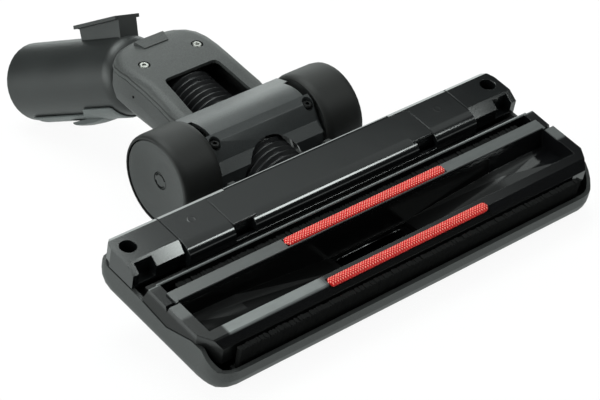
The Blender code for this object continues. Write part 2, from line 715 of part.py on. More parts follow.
def brush_frame(finish, parent):
    """The rectangular frame inside the head that carries both bristle strips."""
    top = BRISTLE_FOOT_Z - CLEARANCE
    front_low = COVER_FRONT + WALL + CLEARANCE
    front_high = NOSE_FRONT - CLEARANCE
    rear_low = LIP_REAR + CLEARANCE
    rear_high = RAIL_FRONT - CLEARANCE
    half = FRAME_HALF + 1.0
    edge = COVER_EDGE - WALL
    front_rail = [
        (front_low, top), (front_low, FRAME_BOTTOM + 3.0), (front_low + edge / 3, FRAME_BOTTOM),
        (front_high, FRAME_BOTTOM), (front_high, top),
    ]
    bm = prism(front_rail, "X", -half, half)
    bm = join(bm, box((-half, rear_low, FRAME_BOTTOM), (half, rear_high, top)))
    link_low = COVER_BOTTOM + WALL + CLEARANCE
    for side in (-1, 1):
        low, high = sorted((side * (half - FRAME_ARM), side * half))
        link = [
            (front_low + edge / 3 + 0.4, FRAME_BOTTOM + 1.5), (front_low + edge * 0.6, link_low + 1.0),
            (front_low + edge, link_low), (rear_high - 0.5, link_low),
            (rear_high - 0.5, FRAME_BOTTOM + 1.5), (rear_low + 0.5, FRAME_BOTTOM + 1.5),
            (rear_low - 1.0, link_low + 2.2), (front_high + 1.0, link_low + 2.2),
            (front_high - 0.5, FRAME_BOTTOM + 1.5),
        ]
        bm = join(bm, prism(link, "X", low, high))
    return add("brush_frame", bm, finish, parent)


def foot_pedal(finish, parent, pivot):
    """The pedal in the cover's slope, with two arms that lift the front rail of the brush frame."""
    face = [(y, cover_outside_z(y) + CLEARANCE) for y in (PEDAL_FRONT, PEDAL_REAR)]
    back = [(y, z + PEDAL_THICK) for y, z in reversed(face)]
    bm = prism(face + back, "X", -PEDAL_HALF, PEDAL_HALF)
    outer = PEDAL_HALF + PEDAL_ARM
    lift = WALL + 2 * CLEARANCE
    wing = [(y, cover_outside_z(y) + lift) for y in (PEDAL_FRONT + 0.5, PEDAL_REAR)]
    wing += [(y, z + 1.6) for y, z in reversed(wing)]
    bm = join(bm, prism(wing, "X", -outer, outer))
    for side in (-1, 1):
        low, high = sorted((side * (outer - PEDAL_ARM), side * outer))
        tip_y = COVER_FRONT + WALL + 1.6
        tip_z = FRAME_BOTTOM - CLEARANCE
        floor = COVER_BOTTOM + WALL + CLEARANCE
        arm = [
            (tip_y, tip_z), (tip_y, floor + 2.6), (tip_y + 2.5, floor + 0.7), (tip_y + 5.0, floor),
            (HINGE_Y - 5.0, cover_outside_z(HINGE_Y - 5.0) + lift),
            (HINGE_Y, HINGE_Z - HINGE_EYE_RADIUS), (HINGE_Y + 2.0, HINGE_Z - 2.0),
            (HINGE_Y + HINGE_EYE_RADIUS, HINGE_Z), (HINGE_Y + 2.0, HINGE_Z + 2.0),
            (HINGE_Y, HINGE_Z + HINGE_EYE_RADIUS), (HINGE_Y - 3.0, HINGE_Z + HINGE_EYE_RADIUS),
            (HINGE_Y - 12.0, 22.0), (3.0, tip_z - 0.5), (0.0, tip_z),
        ]
        bore = turned(
            [(low - THROUGH, HINGE_PIN_RADIUS + CLEARANCE), (high + THROUGH, HINGE_PIN_RADIUS + CLEARANCE)],
            (0, HINGE_Y, HINGE_Z), "X", 12,
        )
        bm = join(bm, prism(arm, "X", low, high))
        bm = cut(bm, bore)
    return add("foot_pedal", bm, finish, parent, pivot)


def pedal_pin(side, finish, parent):
    low, high = sorted((side * PEDAL_HALF, side * (PEDAL_HALF + PEDAL_ARM + 4.0)))
    bm = turned([(low, HINGE_PIN_RADIUS), (high, HINGE_PIN_RADIUS)], (0, HINGE_Y, HINGE_Z), "X", 12)
    return add("pedal_pin_left" if side < 0 else "pedal_pin_right", bm, finish, parent)


def rounded_loop(centre, across, up, half_across, half_up, squareness, steps):
    """A loop between a circle (squareness 2) and a rounded rectangle (squareness 6 and more)."""
    points = []
    for i in range(steps):
        turn = 2 * math.pi * (i + 0.5) / steps
        c, s = math.cos(turn), math.sin(turn)
        a = math.copysign(abs(c) ** (2 / squareness), c) * half_across
        b = math.copysign(abs(s) ** (2 / squareness), s) * half_up
        points.append(Vector(centre) + a * across + b * up)
    return points


def throat_duct(finish, parent):
    """The duct from the throat under the sole to the hose, flat at the throat and round at the rear."""
    across = Vector((1, 0, 0))
    throat_y = (THROAT_FRONT + THROAT_REAR) / 2
    half_y = (THROAT_REAR - THROAT_FRONT) / 2
    # Middle of each section, its lean from lying flat to standing upright, half sizes, squareness
    stations = [
        (throat_y, 28.2, -8, THROAT_HALF, half_y, 8.0),
        (throat_y + 0.9, 23.7, 25, THROAT_HALF, half_y - 0.6, 8.0),
        (31.2, 21.4, 60, THROAT_HALF - 0.5, 5.1, 7.0),
        (43.0, 17.4, 90, THROAT_HALF - 1.0, 5.8, 6.0),
        (54.0, 16.0, 90, 22.0, 8.6, 4.0),
        (68.0, 16.0, 90, 18.0, 13.2, 2.6),
        (80.0, DUCT_Z, 90, HOSE_BORE, HOSE_BORE, 2.0),
        (HOSE_START - 3.0, DUCT_Z, 90, HOSE_BORE, HOSE_BORE, 2.0),
    ]
    outer, inner = [], []
    for y, z, lean, half_x, half_z, squareness in stations:
        turn = math.radians(lean)
        up = Vector((0, math.cos(turn), math.sin(turn)))
        wall = DUCT_RADIUS - HOSE_BORE - CLEARANCE if lean == 90 and squareness == 2.0 else 1.8
        inner.append(rounded_loop((0, y, z), across, up, half_x, half_z, squareness, 28))
        outer.append(rounded_loop((0, y, z), across, up, half_x + wall, half_z + wall, squareness, 28))
    return add("throat_duct", pipe(outer, inner), finish, parent)


def hose_bow(y):
    """How far the hose's middle lies off a straight line between its two ends."""
    share = (y - HOSE_START) / (HOSE_END - HOSE_START)
    if share < 0.3:
        return HOSE_RISE * math.sin(math.pi * share / 0.6) ** 2
    if share < 0.6:
        return HOSE_RISE + (HOSE_SAG - HOSE_RISE) * math.sin(math.pi * (share - 0.3) / 0.6) ** 2
    if share < 0.85:
        return HOSE_SAG
    return HOSE_SAG * math.cos(math.pi * (share - 0.85) / 0.3) ** 2


def flex_hose(finish, parent):
    """The corrugated hose from the head through the axle into the neck."""
    turns = round((HOSE_END - HOSE_START) / HOSE_PITCH)
    pitch = (HOSE_END - HOSE_START) / turns
    root_radius = HOSE_BORE + HOSE_WALL
    profile = []
    for i in range(turns):
        start = HOSE_START + i * pitch
        profile.append((start, root_radius))
        if 0 < i < turns - 1:
            profile.append((start + pitch * 0.5, HOSE_RADIUS))
    profile.append((HOSE_END, root_radius))
    across, up = Vector((1, 0, 0)), Vector((0, 0, 1))
    outer, inner = [], []
    for y, radius in profile:
        centre = Vector((0, y, DUCT_Z + hose_bow(y)))
        outer.append(circle(centre, across, up, radius, 20))
        inner.append(circle(centre, across, up, radius - HOSE_WALL, 20))
    return add("flex_hose", pipe(outer, inner), finish, parent)


def cuff(name, start, end, radius, bore, finish, parent, pivot=(0, 0, 0)):
    profile = [(start, radius - 0.8), (start + 0.8, radius), (end - 0.8, radius), (end, radius - 0.8)]
    bm = ring(profile, [(a, bore) for a, _ in profile], (0, 0, DUCT_Z), "Y", 32)
    return add(name, bm, finish, parent, pivot)


def axle_carriage(finish, parent):
    """The fork behind the head: a plate on the cover's rear wall and two arms that hold the axle."""
    front = COVER_REAR + CLEARANCE
    plate_half = ARM_OUTER
    plate = [
        (plate_half, 34.0), (plate_half, 4.0), (plate_half - 6.0, -1.5), (18.0, -4.5),
    ]
    outline = mirrored(plate)
    bm = prism(outline, "Y", front, front + 3.0)
    for side in (-1, 1):
        low, high = sorted((side * ARM_INNER, side * ARM_OUTER))
        arm = [
            (front + 1.0, 1.0), (front + 1.0, 33.0), (front + 8.0, 33.0), (104.5, 30.0),
            (106.8, 22.6), (111.2, 22.6), (114.5, 30.4), (119.2, 37.8), (121.6, 41.0), (124.6, 41.0),
            (124.6, 31.0),
        ]
        for angle in (90, 45, 0, -45, -90, -120):
            turn = math.radians(angle)
            arm.append((AXLE_Y + ARM_BOSS * math.cos(turn), AXLE_Z + ARM_BOSS * math.sin(turn)))
        arm.append((AXLE_Y - 24.0, 7.0))
        bm = join(bm, prism(arm, "X", low, high))
    for side in (-1, 1):
        seat = side * HOUSING_SCREW_X
        post = turned([(34.0, 3.0), (41.6, 3.0)], (seat, HOUSING_SCREW_Y, 0), "Z", 20)
        bore = turned([(31.0, 1.7), (44.0, 1.7)], (seat, HOUSING_SCREW_Y, 0), "Z", 12)
        bm = cut(join(bm, post), bore)
    hole = turned(
        [(front - THROUGH, DUCT_RADIUS + 1.2), (front + 3.0 + THROUGH, DUCT_RADIUS + 1.2)],
        (0, 0, DUCT_Z), "Y", 32,
    )
    reach = ARM_OUTER + THROUGH
    axle = turned([(-reach, AXLE_RADIUS + CLEARANCE), (reach, AXLE_RADIUS + CLEARANCE)],
                  (0, AXLE_Y, AXLE_Z), "X", 20)
    return add("axle_carriage", cut(bm, hole, axle), finish, parent)


def housing_outline(inset):
    """The housing over the axle: steep front, broad top, rear edge over the neck."""
    points = [
        (108.0, 24.0), (109.2, 31.5), (114.8, 36.4), (121.8, 44.6), (126.5, 46.4),
        (131.4, 46.9), (137.0, 45.9), (142.5, 43.9), (152.0, 39.6),
    ]
    centre = Vector((AXLE_Y, DUCT_Z))
    shifted = []
    for y, z in points:
        away = (Vector((y, z)) - centre).normalized() * inset
        shifted.append((y - away.x, z - away.y))
    return shifted


def axle_housing(finish, parent):
    """The shell over the axle, with end cheeks, slots and screw holes at both ends."""
    outer = housing_outline(0.0)
    shell = outer + housing_outline(HOUSING_WALL)[::-1]
    half = ARM_OUTER
    bm = prism(shell, "X", -half, half)
    hose_gap = HOSE_RADIUS + HOSE_RISE + 1.6
    front_wall = [(32.0, 20.0), (32.0, 34.4), (24.0, 35.6)]
    wall = prism(mirrored(front_wall), "Y", 115.2, 117.6)
    wall = cut(wall, turned([(110.0, hose_gap), (122.0, hose_gap)], (0, 0, DUCT_Z), "Y", 32))
    wall = cut(wall, box((-hose_gap + 3.0, 110.0, 0.0), (hose_gap - 3.0, 122.0, 28.0)))
    bm = join(bm, wall)
    bm = cut(bm, turned([(100.0, hose_gap), (118.0, hose_gap)], (0, 0, DUCT_Z), "Y", 32))
    top = 52.0
    for side in (-1, 1):
        low, high = sorted((side * (half - 3.4), side * (half + THROUGH)))
        slot = box((low, HOUSING_SCREW_Y + 4.4, 38.0), (high, AXLE_Y + 11.6, top))
        hole = turned([(36.0, HOUSING_SCREW_HOLE), (top, HOUSING_SCREW_HOLE)],
                      (side * HOUSING_SCREW_X, HOUSING_SCREW_Y, 0), "Z", 20)
        bm = cut(bm, slot, hole)
    return add("axle_housing", bm, finish, parent)


def axle_pin(side, finish, parent):
    low, high = sorted((side * NECK_FORK_INNER, side * (WHEEL_OUTER - WHEEL_DISH - 3.0)))
    bm = turned([(low, AXLE_RADIUS), (high, AXLE_RADIUS)], (0, AXLE_Y, AXLE_Z), "X", 20)
    return add("axle_pin_left" if side < 0 else "axle_pin_right", bm, finish, parent)


def wheel(side, disc_finish, tyre_finish, clip_finish, parent):
    """A wheel on its own pivot: a hard disc with a domed face, a soft tyre and a snap cap."""
    label = "left" if side < 0 else "right"
    pivot = (side * (WHEEL_INNER + WHEEL_OUTER) / 2, AXLE_Y, AXLE_Z)
    spin = empty(f"wheel_{label}_axis", parent, pivot)
    place = (0, 0, 0)

    def along(distance):
        return side * distance - pivot[0]

    seat = DISC_RADIUS + CLEARANCE
    tread = [
        (along(WHEEL_INNER), WHEEL_RADIUS - 1.9), (along(WHEEL_INNER + 1.2), WHEEL_RADIUS - 0.7),
        (along(WHEEL_INNER + 4.5), WHEEL_RADIUS), (along(WHEEL_OUTER - 4.5), WHEEL_RADIUS),
        (along(WHEEL_OUTER - 1.3), WHEEL_RADIUS - 0.5), (along(WHEEL_OUTER - 0.2), WHEEL_RADIUS - 1.3),
        (along(WHEEL_OUTER), WHEEL_RADIUS - 1.9),
    ]
    bore = [(a, seat) for a, _ in tread]
    add(f"tyre_{label}", ring(tread, bore, place, "X", 40), tyre_finish, spin)
    middle = WHEEL_OUTER - WHEEL_DISH
    face = [
        (WHEEL_INNER + 1.5, 8.0), (WHEEL_INNER + 1.5, DISC_RADIUS), (WHEEL_OUTER - 1.4, DISC_RADIUS),
        (WHEEL_OUTER - 0.4, DISC_RADIUS - 0.6), (WHEEL_OUTER - 0.4, DISC_RADIUS - 1.5),
        (WHEEL_OUTER - WHEEL_DISH * 0.5, DISC_RADIUS * 0.75), (middle + 0.5, DISC_RADIUS * 0.5), (middle, 6.5),
    ]
    hub = AXLE_RADIUS + CLEARANCE
    step = (middle - WHEEL_INNER - 1.5) / (len(face) - 1)
    bore = [(along(WHEEL_INNER + 1.5 + i * step), hub) for i in range(len(face))]
    disc = ring([(along(a), r) for a, r in face], bore, place, "X", 40)
    pocket = turned([(along(middle - 2.2), HUB_RADIUS), (along(middle + 3.0), HUB_RADIUS)], place, "X", 24)
    add(f"wheel_disc_{label}", cut(disc, pocket), disc_finish, spin)
    lip = HUB_RADIUS - CLEARANCE
    cap = turned([(along(middle - 1.9), lip), (along(middle - 0.4), lip), (along(middle), lip - 0.5)],
                 place, "X", 24)
    for start in (20, 200):
        groove = []
        for radius, order in ((HUB_RADIUS * 0.66, 1), (HUB_RADIUS * 0.86, -1)):
            for i in range(8)[::order]:
                turn = math.radians(start + 19 * i)
                groove.append((radius * math.cos(turn), radius * math.sin(turn)))
        low, high = sorted((along(middle - 1.1), along(middle + 1.0)))
        cap = cut(cap, prism(groove, "X", low, high))
    add(f"hub_clip_{label}", cap, clip_finish, spin)
    return spin


NECK_STATIONS = [
    # y, height of the flat underside, half width at the seam, lowest point, half width low down
    (NECK_FRONT, 36.0, 31.0, -4.8, 25.5),
    (NECK_FRONT + 5.5, 36.0, 31.6, -5.3, 25.0),
    (NECK_FRONT + 13.5, 36.3, 32.6, NECK_BOTTOM, 24.5),
    (NECK_FRONT + 25.5, 37.4, 31.6, NECK_BOTTOM, 24.0),
    (NECK_FRONT + 38.5, 38.0, 31.2, NECK_BOTTOM, 24.0),
    (BEARING_FRONT, 37.2, 31.9, NECK_BOTTOM, 25.0),
    (NECK_REAR - 20.5, 36.2, 31.9, NECK_BOTTOM + 0.5, 25.5),
    (NECK_REAR - 14.0, 35.3, 30.6, NECK_BOTTOM + 2.0, 24.0),
    (NECK_REAR - 8.5, 34.3, 27.4, NECK_BOTTOM + 4.0, 21.0),
    (NECK_REAR - 4.0, 33.0, 22.0, NECK_BOTTOM + 7.0, 16.0),
    (NECK_REAR - 1.2, 31.6, 14.5, NECK_BOTTOM + 10.0, 10.0),
    (NECK_REAR, 29.8, 8.0, NECK_BOTTOM + 12.0, 6.0),
]


def neck_loop(station, inset):
    """One cross-section of the neck: flat on top, straight flanks, rounded below."""
    y, top, half, bottom, low_half = station
    points = [
        (half - 7.0, top), (half - 3.0, top - 0.8), (half - 0.9, top - 2.6), (half, top - 6.0),
        (half, top - 16.0), (half - 1.6, top - 24.0), (low_half - 2.0, bottom + 9.0),
        (low_half - 9.0, bottom + 2.6), (low_half - 18.0, bottom),
    ]
    middle = (top + bottom) / 2
    shifted = []
    for a, b in points:
        a = max(a, 1.0)
        width = max(a - inset, 0.6)
        height = b - inset if b > middle else b + inset
        shifted.append((width if a > 0 else -width, height))
    return [Vector((a, y, b)) for a, b in mirrored(shifted)]


def neck_solid(inset):
    stations = list(NECK_STATIONS)
    if inset:
        first, last = stations[0], stations[-1]
        stations[0] = (first[0] - THROUGH, *first[1:])
        stations[-1] = (last[0] + THROUGH, *last[1:])
    return loft([neck_loop(station, inset) for station in stations])


def seam_line(offset):
    """Height of the seam between the neck's two shells, as (y, z) points."""
    return [
        (NECK_FRONT - 10.0, 31.0 + offset), (BEARING_REAR, 31.4 + offset), (NECK_REAR - 16.0, 29.4 + offset),
        (NECK_REAR - 8.0, 27.0 + offset), (NECK_REAR + 10.0, 25.6 + offset),
    ]


def neck_pieces(shell_finish, screw_finish, parent, pivot):
    """The base with its window and screws, and the shell on the other side of the hose."""
    above = seam_line(-CLEARANCE / 2) + [(NECK_REAR + 10.0, 60.0), (NECK_FRONT - 10.0, 60.0)]
    below = seam_line(CLEARANCE / 2) + [(NECK_REAR + 10.0, -30.0), (NECK_FRONT - 10.0, -30.0)]
    reach = 60.0
    base = cut(neck_solid(0.0), neck_solid(NECK_WALL), prism(below, "X", -reach, reach))
    side_line = [
        (WINDOW_HALF_FRONT, NECK_FRONT - THROUGH), (WINDOW_HALF_REAR, WINDOW_REAR - 3.0),
        (WINDOW_HALF_REAR - 1.0, WINDOW_REAR - 0.9), (WINDOW_HALF_REAR - 3.0, WINDOW_REAR),
    ]
    base = cut(base, prism(mirrored(side_line), "Z", 26.0, 50.0))
    pad = [(-8.4, NECK_REAR - 12.6), (8.4, NECK_REAR - 12.6), (10.4, NECK_REAR - 5.0), (-10.4, NECK_REAR - 5.0)]
    base = join(base, prism(pad, "Z", 33.2, 35.6))
    for side in (-1, 1):
        seat = (side * NECK_SCREW_X, NECK_SCREW_Y, 0)
        boss = turned([(30.0, 5.4), (35.5, 5.4)], seat, "Z", 20)
        sink = turned([(35.0, 3.6), (45.0, 3.6)], seat, "Z", 20)
        bore = turned([(26.0, 1.8), (36.0, 1.8)], seat, "Z", 12)
        base = cut(join(base, boss), sink, bore)
        screw(f"neck_screw_{'left' if side < 0 else 'right'}", (seat[0], seat[1], 35.0 + CLEARANCE),
              2.9, 1.5, 1.4, 9.0, screw_finish, parent, pivot)
    add("neck_base", base, shell_finish, parent, pivot)

    shell = cut(neck_solid(0.0), neck_solid(NECK_WALL), prism(above, "X", -reach, reach))
    end = [
        (NECK_REAR - 11.0, 45.0), (NECK_REAR - 12.0, 24.5), (NECK_REAR - 15.5, 15.0),
        (NECK_REAR - 20.5, 8.0), (NECK_REAR - 23.5, NECK_BOTTOM - THROUGH),
        (NECK_REAR + 12.0, NECK_BOTTOM - THROUGH), (NECK_REAR + 12.0, 45.0),
    ]
    shell = cut(shell, prism(end, "X", -reach, reach))
    for side in (-1, 1):
        low, high = sorted((side * NECK_FORK_INNER, side * NECK_FORK_OUTER))
        ear = []
        for angle in (90, 130, 170, 210, 250, 290):
            turn = math.radians(angle)
            ear.append((AXLE_Y + ARM_BOSS * math.cos(turn), AXLE_Z + ARM_BOSS * math.sin(turn)))
        ear += [(NECK_FRONT + 4.0, 6.0), (NECK_FRONT + 4.0, 30.6)]
        shell = join(shell, prism(ear, "X", low, high))
        bore = turned([(low - THROUGH, AXLE_RADIUS + CLEARANCE), (high + THROUGH, AXLE_RADIUS + CLEARANCE)],
                      (0, AXLE_Y, AXLE_Z), "X", 20)
        pinhole = turned([(side * (NECK_FORK_INNER + 0.5), 0.9), (side * (NECK_FORK_OUTER + 4.4), 0.9)],
                         (0, SLEEVE_FRONT - 0.7, 24.6), "X", 10)
        shell = cut(shell, bore, pinhole)
    add("neck_shell", shell, shell_finish, parent, pivot)


def bearing_plate(finish, parent, pivot):
    """The plate across the neck that the tube's sleeve turns in."""
    loops = []
    for y in (BEARING_FRONT, BEARING_REAR):
        before = max((s for s in NECK_STATIONS if s[0] <= y), key=lambda s: s[0])
        after = min((s for s in NECK_STATIONS if s[0] > y), key=lambda s: s[0])
        share = (y - before[0]) / (after[0] - before[0])
        mixed = [a + (b - a) * share for a, b in zip(before, after)]
        loops.append(neck_loop((y, *mixed[1:]), NECK_WALL + CLEARANCE))
    bm = loft(loops)
    low = box((-50.0, BEARING_FRONT - THROUGH, 29.6), (50.0, BEARING_REAR + THROUGH, 50.0))
    bore = turned(
        [(BEARING_FRONT - THROUGH, SLEEVE_RADIUS + CLEARANCE), (BEARING_REAR + 8.0, SLEEVE_RADIUS + CLEARANCE)],
        (0, 0, DUCT_Z), "Y", 32,
    )
    split = box(
        (-SLEEVE_RADIUS + 5.0, BEARING_FRONT - THROUGH, 25.0),
        (SLEEVE_RADIUS - 5.0, BEARING_REAR + THROUGH, 40.0),
    )
    bm = cut(bm, low)
    for side in (-1, 1):
        post = turned([(19.0, 3.2), (29.6, 3.2)], (side * NECK_SCREW_X, NECK_SCREW_Y, 0), "Z", 20)
        hole = turned([(22.0, 1.7), (32.0, 1.7)], (side * NECK_SCREW_X, NECK_SCREW_Y, 0), "Z", 12)
        bm = cut(join(bm, post), hole)
    return add("swivel_bearing", cut(bm, bore, split), finish, parent, pivot)


def tube_axes():
    """Unit vectors of the tube before it is swivelled: along it, to its underside, and across."""
    bend = math.radians(BEND_ANGLE)
    along = Vector((0, math.cos(bend), -math.sin(bend)))
    under = Vector((0, math.sin(bend), math.cos(bend)))
    return along, under, Vector((1, 0, 0))


def tube_point(distance, out, across=0.0):
    """A point by its distance along the tube, towards the hook side, and across."""
    along, under, side = tube_axes()
    return Vector((0, BEND_Y, DUCT_Z)) + distance * along + out * under + across * side


def tube_prism(points, low, high):
    """A polygon in the tube's middle plane, as (along, out) points, extruded across it."""
    loops = [[tube_point(a, b, x) for a, b in points] for x in (low, high)]
    return loft(loops)


def tube_path():
    """Stations of the tube: centre, direction to the hook side, outer and inner radius."""
    across = Vector((1, 0, 0))
    stations = []
    tangent = BEND_RADIUS * math.tan(math.radians(BEND_ANGLE) / 2)
    straight = [
        (SLEEVE_FRONT, SLEEVE_FLANGE, SLEEVE_BORE), (BEARING_FRONT - CLEARANCE, SLEEVE_FLANGE, SLEEVE_BORE),
        (BEARING_FRONT - CLEARANCE + 0.01, SLEEVE_RADIUS, SLEEVE_BORE),
    ]
    for y, outer, inner in straight:
        stations.append((Vector((0, y, DUCT_Z)), Vector((0, 0, 1)), outer, inner))
    for step in range(5):
        turn = math.radians(BEND_ANGLE) * step / 4
        centre = Vector((
            0,
            BEND_Y - tangent + BEND_RADIUS * math.sin(turn),
            DUCT_Z - BEND_RADIUS * (1 - math.cos(turn)),
        ))
        up = Vector((0, math.sin(turn), math.cos(turn)))
        stations.append((centre, up, SLEEVE_RADIUS, SLEEVE_BORE))
    up = tube_axes()[1]
    mouth = TUBE_LENGTH
    ends = [
        (TUBE_SHOULDER, SLEEVE_RADIUS, SLEEVE_BORE), (TUBE_SHOULDER + 1.8, TUBE_RADIUS - 3.8, SLEEVE_BORE),
        (TUBE_SHOULDER + 4.6, TUBE_RADIUS - 1.2, SLEEVE_BORE), (TUBE_SHOULDER + 8.6, TUBE_RADIUS, SLEEVE_BORE),
        (mouth - SOCKET_DEPTH - 6.0, TUBE_RADIUS, SLEEVE_BORE + 1.0), (mouth - SOCKET_DEPTH, TUBE_RADIUS, SOCKET_BORE),
        (mouth - 2.0, TUBE_RADIUS, SOCKET_BORE), (mouth - 0.6, TUBE_RADIUS - 0.5, SOCKET_BORE + 0.4),
        (mouth, TUBE_RADIUS - 1.8, SOCKET_BORE + 1.2),
    ]
    for distance, outer, inner in ends:
        stations.append((tube_point(distance, 0.0), up, outer, inner))
    return across, stations


def swivel_tube(finish, parent, pivot):
    """The bent tube with its wand socket, its sleeve in the neck and the parking hook."""
    across, stations = tube_path()
    outer = [circle(c, across, up, r, 36) for c, up, r, _ in stations]
    inner = [circle(c, across, up, r, 36) for c, up, _, r in stations]
    bm = pipe(outer, inner)
    foot = TUBE_RADIUS - 3.5
    high = HOOK_TOP + HOOK_RISE
    stem = [
        (HOOK_START, foot), (HOOK_START, high), (HOOK_END + HOOK_LIP, HOOK_TOP),
        (HOOK_END + HOOK_LIP, HOOK_TOP - 1.8), (HOOK_END, HOOK_TOP - 2.6), (HOOK_END - 1.2, foot),
    ]
    lip = [
        (HOOK_START, high - 2.2), (HOOK_START, high), (HOOK_END + HOOK_LIP, HOOK_TOP),
        (HOOK_END + HOOK_LIP, HOOK_TOP - 2.2),
    ]
    pocket = [
        (HOOK_START + HOOK_WALL, TUBE_RADIUS + 1.0), (HOOK_START + HOOK_WALL, high + THROUGH),
        (HOOK_END + HOOK_LIP + THROUGH, HOOK_TOP + THROUGH), (HOOK_END + HOOK_LIP + THROUGH, HOOK_TOP - 3.0),
        (HOOK_END - HOOK_WALL, HOOK_TOP - 3.0), (HOOK_END - HOOK_WALL, TUBE_RADIUS + 1.0),
    ]
    bm = join(bm, tube_prism(stem, -HOOK_HALF, HOOK_HALF))
    bm = join(bm, tube_prism(lip, -HOOK_HALF - HOOK_LIP, HOOK_HALF + HOOK_LIP))
    bm = cut(bm, tube_prism(pocket, -HOOK_HALF + HOOK_WALL, HOOK_HALF - HOOK_WALL))
    slot = [
        (CATCH_START - 1.2, -SOCKET_BORE + 4.0), (CATCH_START - 1.2, -TUBE_RADIUS - THROUGH),
        (CATCH_START + CATCH_LENGTH + 1.2, -TUBE_RADIUS - THROUGH),
        (CATCH_START + CATCH_LENGTH + 1.2, -SOCKET_BORE + 4.0),
    ]
    bm = cut(bm, tube_prism(slot, -CATCH_HALF - 0.7, CATCH_HALF + 0.7))
    return add("swivel_tube", bm, finish, parent, pivot)


def tube_band(distance, low, high, half_angle, steps):
    """A cross-section that lies on the far side of the tube, between two radii."""
    points = []
    for radius, order in ((low, 1), (high, -1)):
        for i in range(steps + 1)[::order]:
            turn = math.radians(half_angle * (2 * i / steps - 1))
            points.append(tube_point(distance, -radius * math.cos(turn), radius * math.sin(turn)))
    return points


def saddle(finish, parent, pivot):
    """The cover along the tube that frames the release lever."""
    seat = TUBE_RADIUS + CLEARANCE
    stations = [
        (SADDLE_START, 0.5, SADDLE_WIDE_ANGLE - 3.0), (SADDLE_START + 2.0, 1.0, SADDLE_WIDE_ANGLE),
        (SADDLE_STEP, 1.0, SADDLE_WIDE_ANGLE), (SADDLE_STEP + 5.0, 1.0, SADDLE_ANGLE),
        (SADDLE_END - 2.0, 1.0, SADDLE_ANGLE), (SADDLE_END, 0.5, SADDLE_ANGLE),
    ]
    bm = loft([tube_band(a, seat, seat + SADDLE_THICK * share, angle, 10) for a, share, angle in stations])
    outside = seat + SADDLE_THICK + THROUGH
    window = [
        (LEVER_START - CLEARANCE, -TUBE_RADIUS + THROUGH), (LEVER_START - CLEARANCE, -outside),
        (LEVER_END + CLEARANCE, -outside), (LEVER_END + CLEARANCE, -TUBE_RADIUS + THROUGH),
    ]
    half = LEVER_HALF + CLEARANCE
    return add("latch_saddle", cut(bm, tube_prism(window, -half, half)), finish, parent, pivot)


def release_lever(finish, parent):
    """The rocking lever that frees the wand: pressing its raised end lifts the catch at the other."""
    seat = TUBE_RADIUS + CLEARANCE
    hinge = tube_point(LEVER_PIVOT, -seat - 0.8)
    axis = empty("release_lever_axis", parent, tuple(hinge - parent_origin(parent)))
    half_angle = math.degrees(math.asin(LEVER_HALF / (seat + LEVER_BACK)))
    # Distance along the tube, gap under the lever and height of its back
    shape = [
        (LEVER_START, 0.0, 1.2), (LEVER_START + 2.0, 0.0, 2.1), (LEVER_PIVOT - 3.0, 0.0, 3.2),
        (LEVER_PIVOT, 0.0, 3.6), (LEVER_PIVOT + 7.0, 1.1, LEVER_BACK), (LEVER_END - 3.0, 2.2, LEVER_BACK),
        (LEVER_END - 0.8, 2.5, 3.8), (LEVER_END, 2.6, 3.1),
    ]
    bm = loft([tube_band(a, seat + low, seat + high, half_angle, 6) for a, low, high in shape])
    nose = [
        (CATCH_START, -SOCKET_BORE - 1.2), (CATCH_START, -seat - 1.0),
        (CATCH_START + CATCH_LENGTH, -seat - 1.0), (CATCH_START + CATCH_LENGTH, -SOCKET_BORE - 0.2),
        (CATCH_START + CATCH_LENGTH - 1.0, -SOCKET_BORE - 0.2),
    ]
    bm = join(bm, tube_prism(nose, -CATCH_HALF, CATCH_HALF))
    obj = add("release_lever", bm, finish, axis, tuple(hinge))
    obj.location = (0, 0, 0)
    return obj


def parent_origin(obj):
    """Where an unturned empty stands in the head's frame, in millimetres."""
    place = Vector((0, 0, 0))
    while obj is not None and obj.name != "head_frame":
        place += obj.location / MM
        obj = obj.parent
    return place


def lowest_chain(points):
    """Lower side of the convex outline of (y, z) points, from front to rear."""
    chain = []
    for point in sorted(set(points)):
        while len(chain) > 1:
            (y0, z0), (y1, z1) = chain[-2], chain[-1]
            if (y1 - y0) * (point[1] - z0) - (z1 - z0) * (point[0] - y0) <= 0:
                chain.pop()
            else:
                break
        chain.append(point)
    return chain


def set_down(root, balance_y):
    """Tip the assembly about X onto the floor below its centre of mass, and centre it."""
    bpy.context.view_layer.update()
    meshes = [obj for obj in bpy.context.scene.objects if obj.type == "MESH"]

    def corners():
        bpy.context.view_layer.update()
        return [obj.matrix_world @ v.co for obj in meshes for v in obj.data.vertices]

    chain = lowest_chain([(round(p.y, 6), round(p.z, 6)) for p in corners()])
    for (y0, z0), (y1, z1) in zip(chain, chain[1:]):
        if y0 <= balance_y * MM <= y1:
            root.rotation_euler.x = -math.atan2(z1 - z0, y1 - y0)
    placed = corners()
    low = [min(p[i] for p in placed) for i in range(3)]
    high = [max(p[i] for p in placed) for i in range(3)]
    root.location = (-(low[0] + high[0]) / 2, -(low[1] + high[1]) / 2, -low[2])


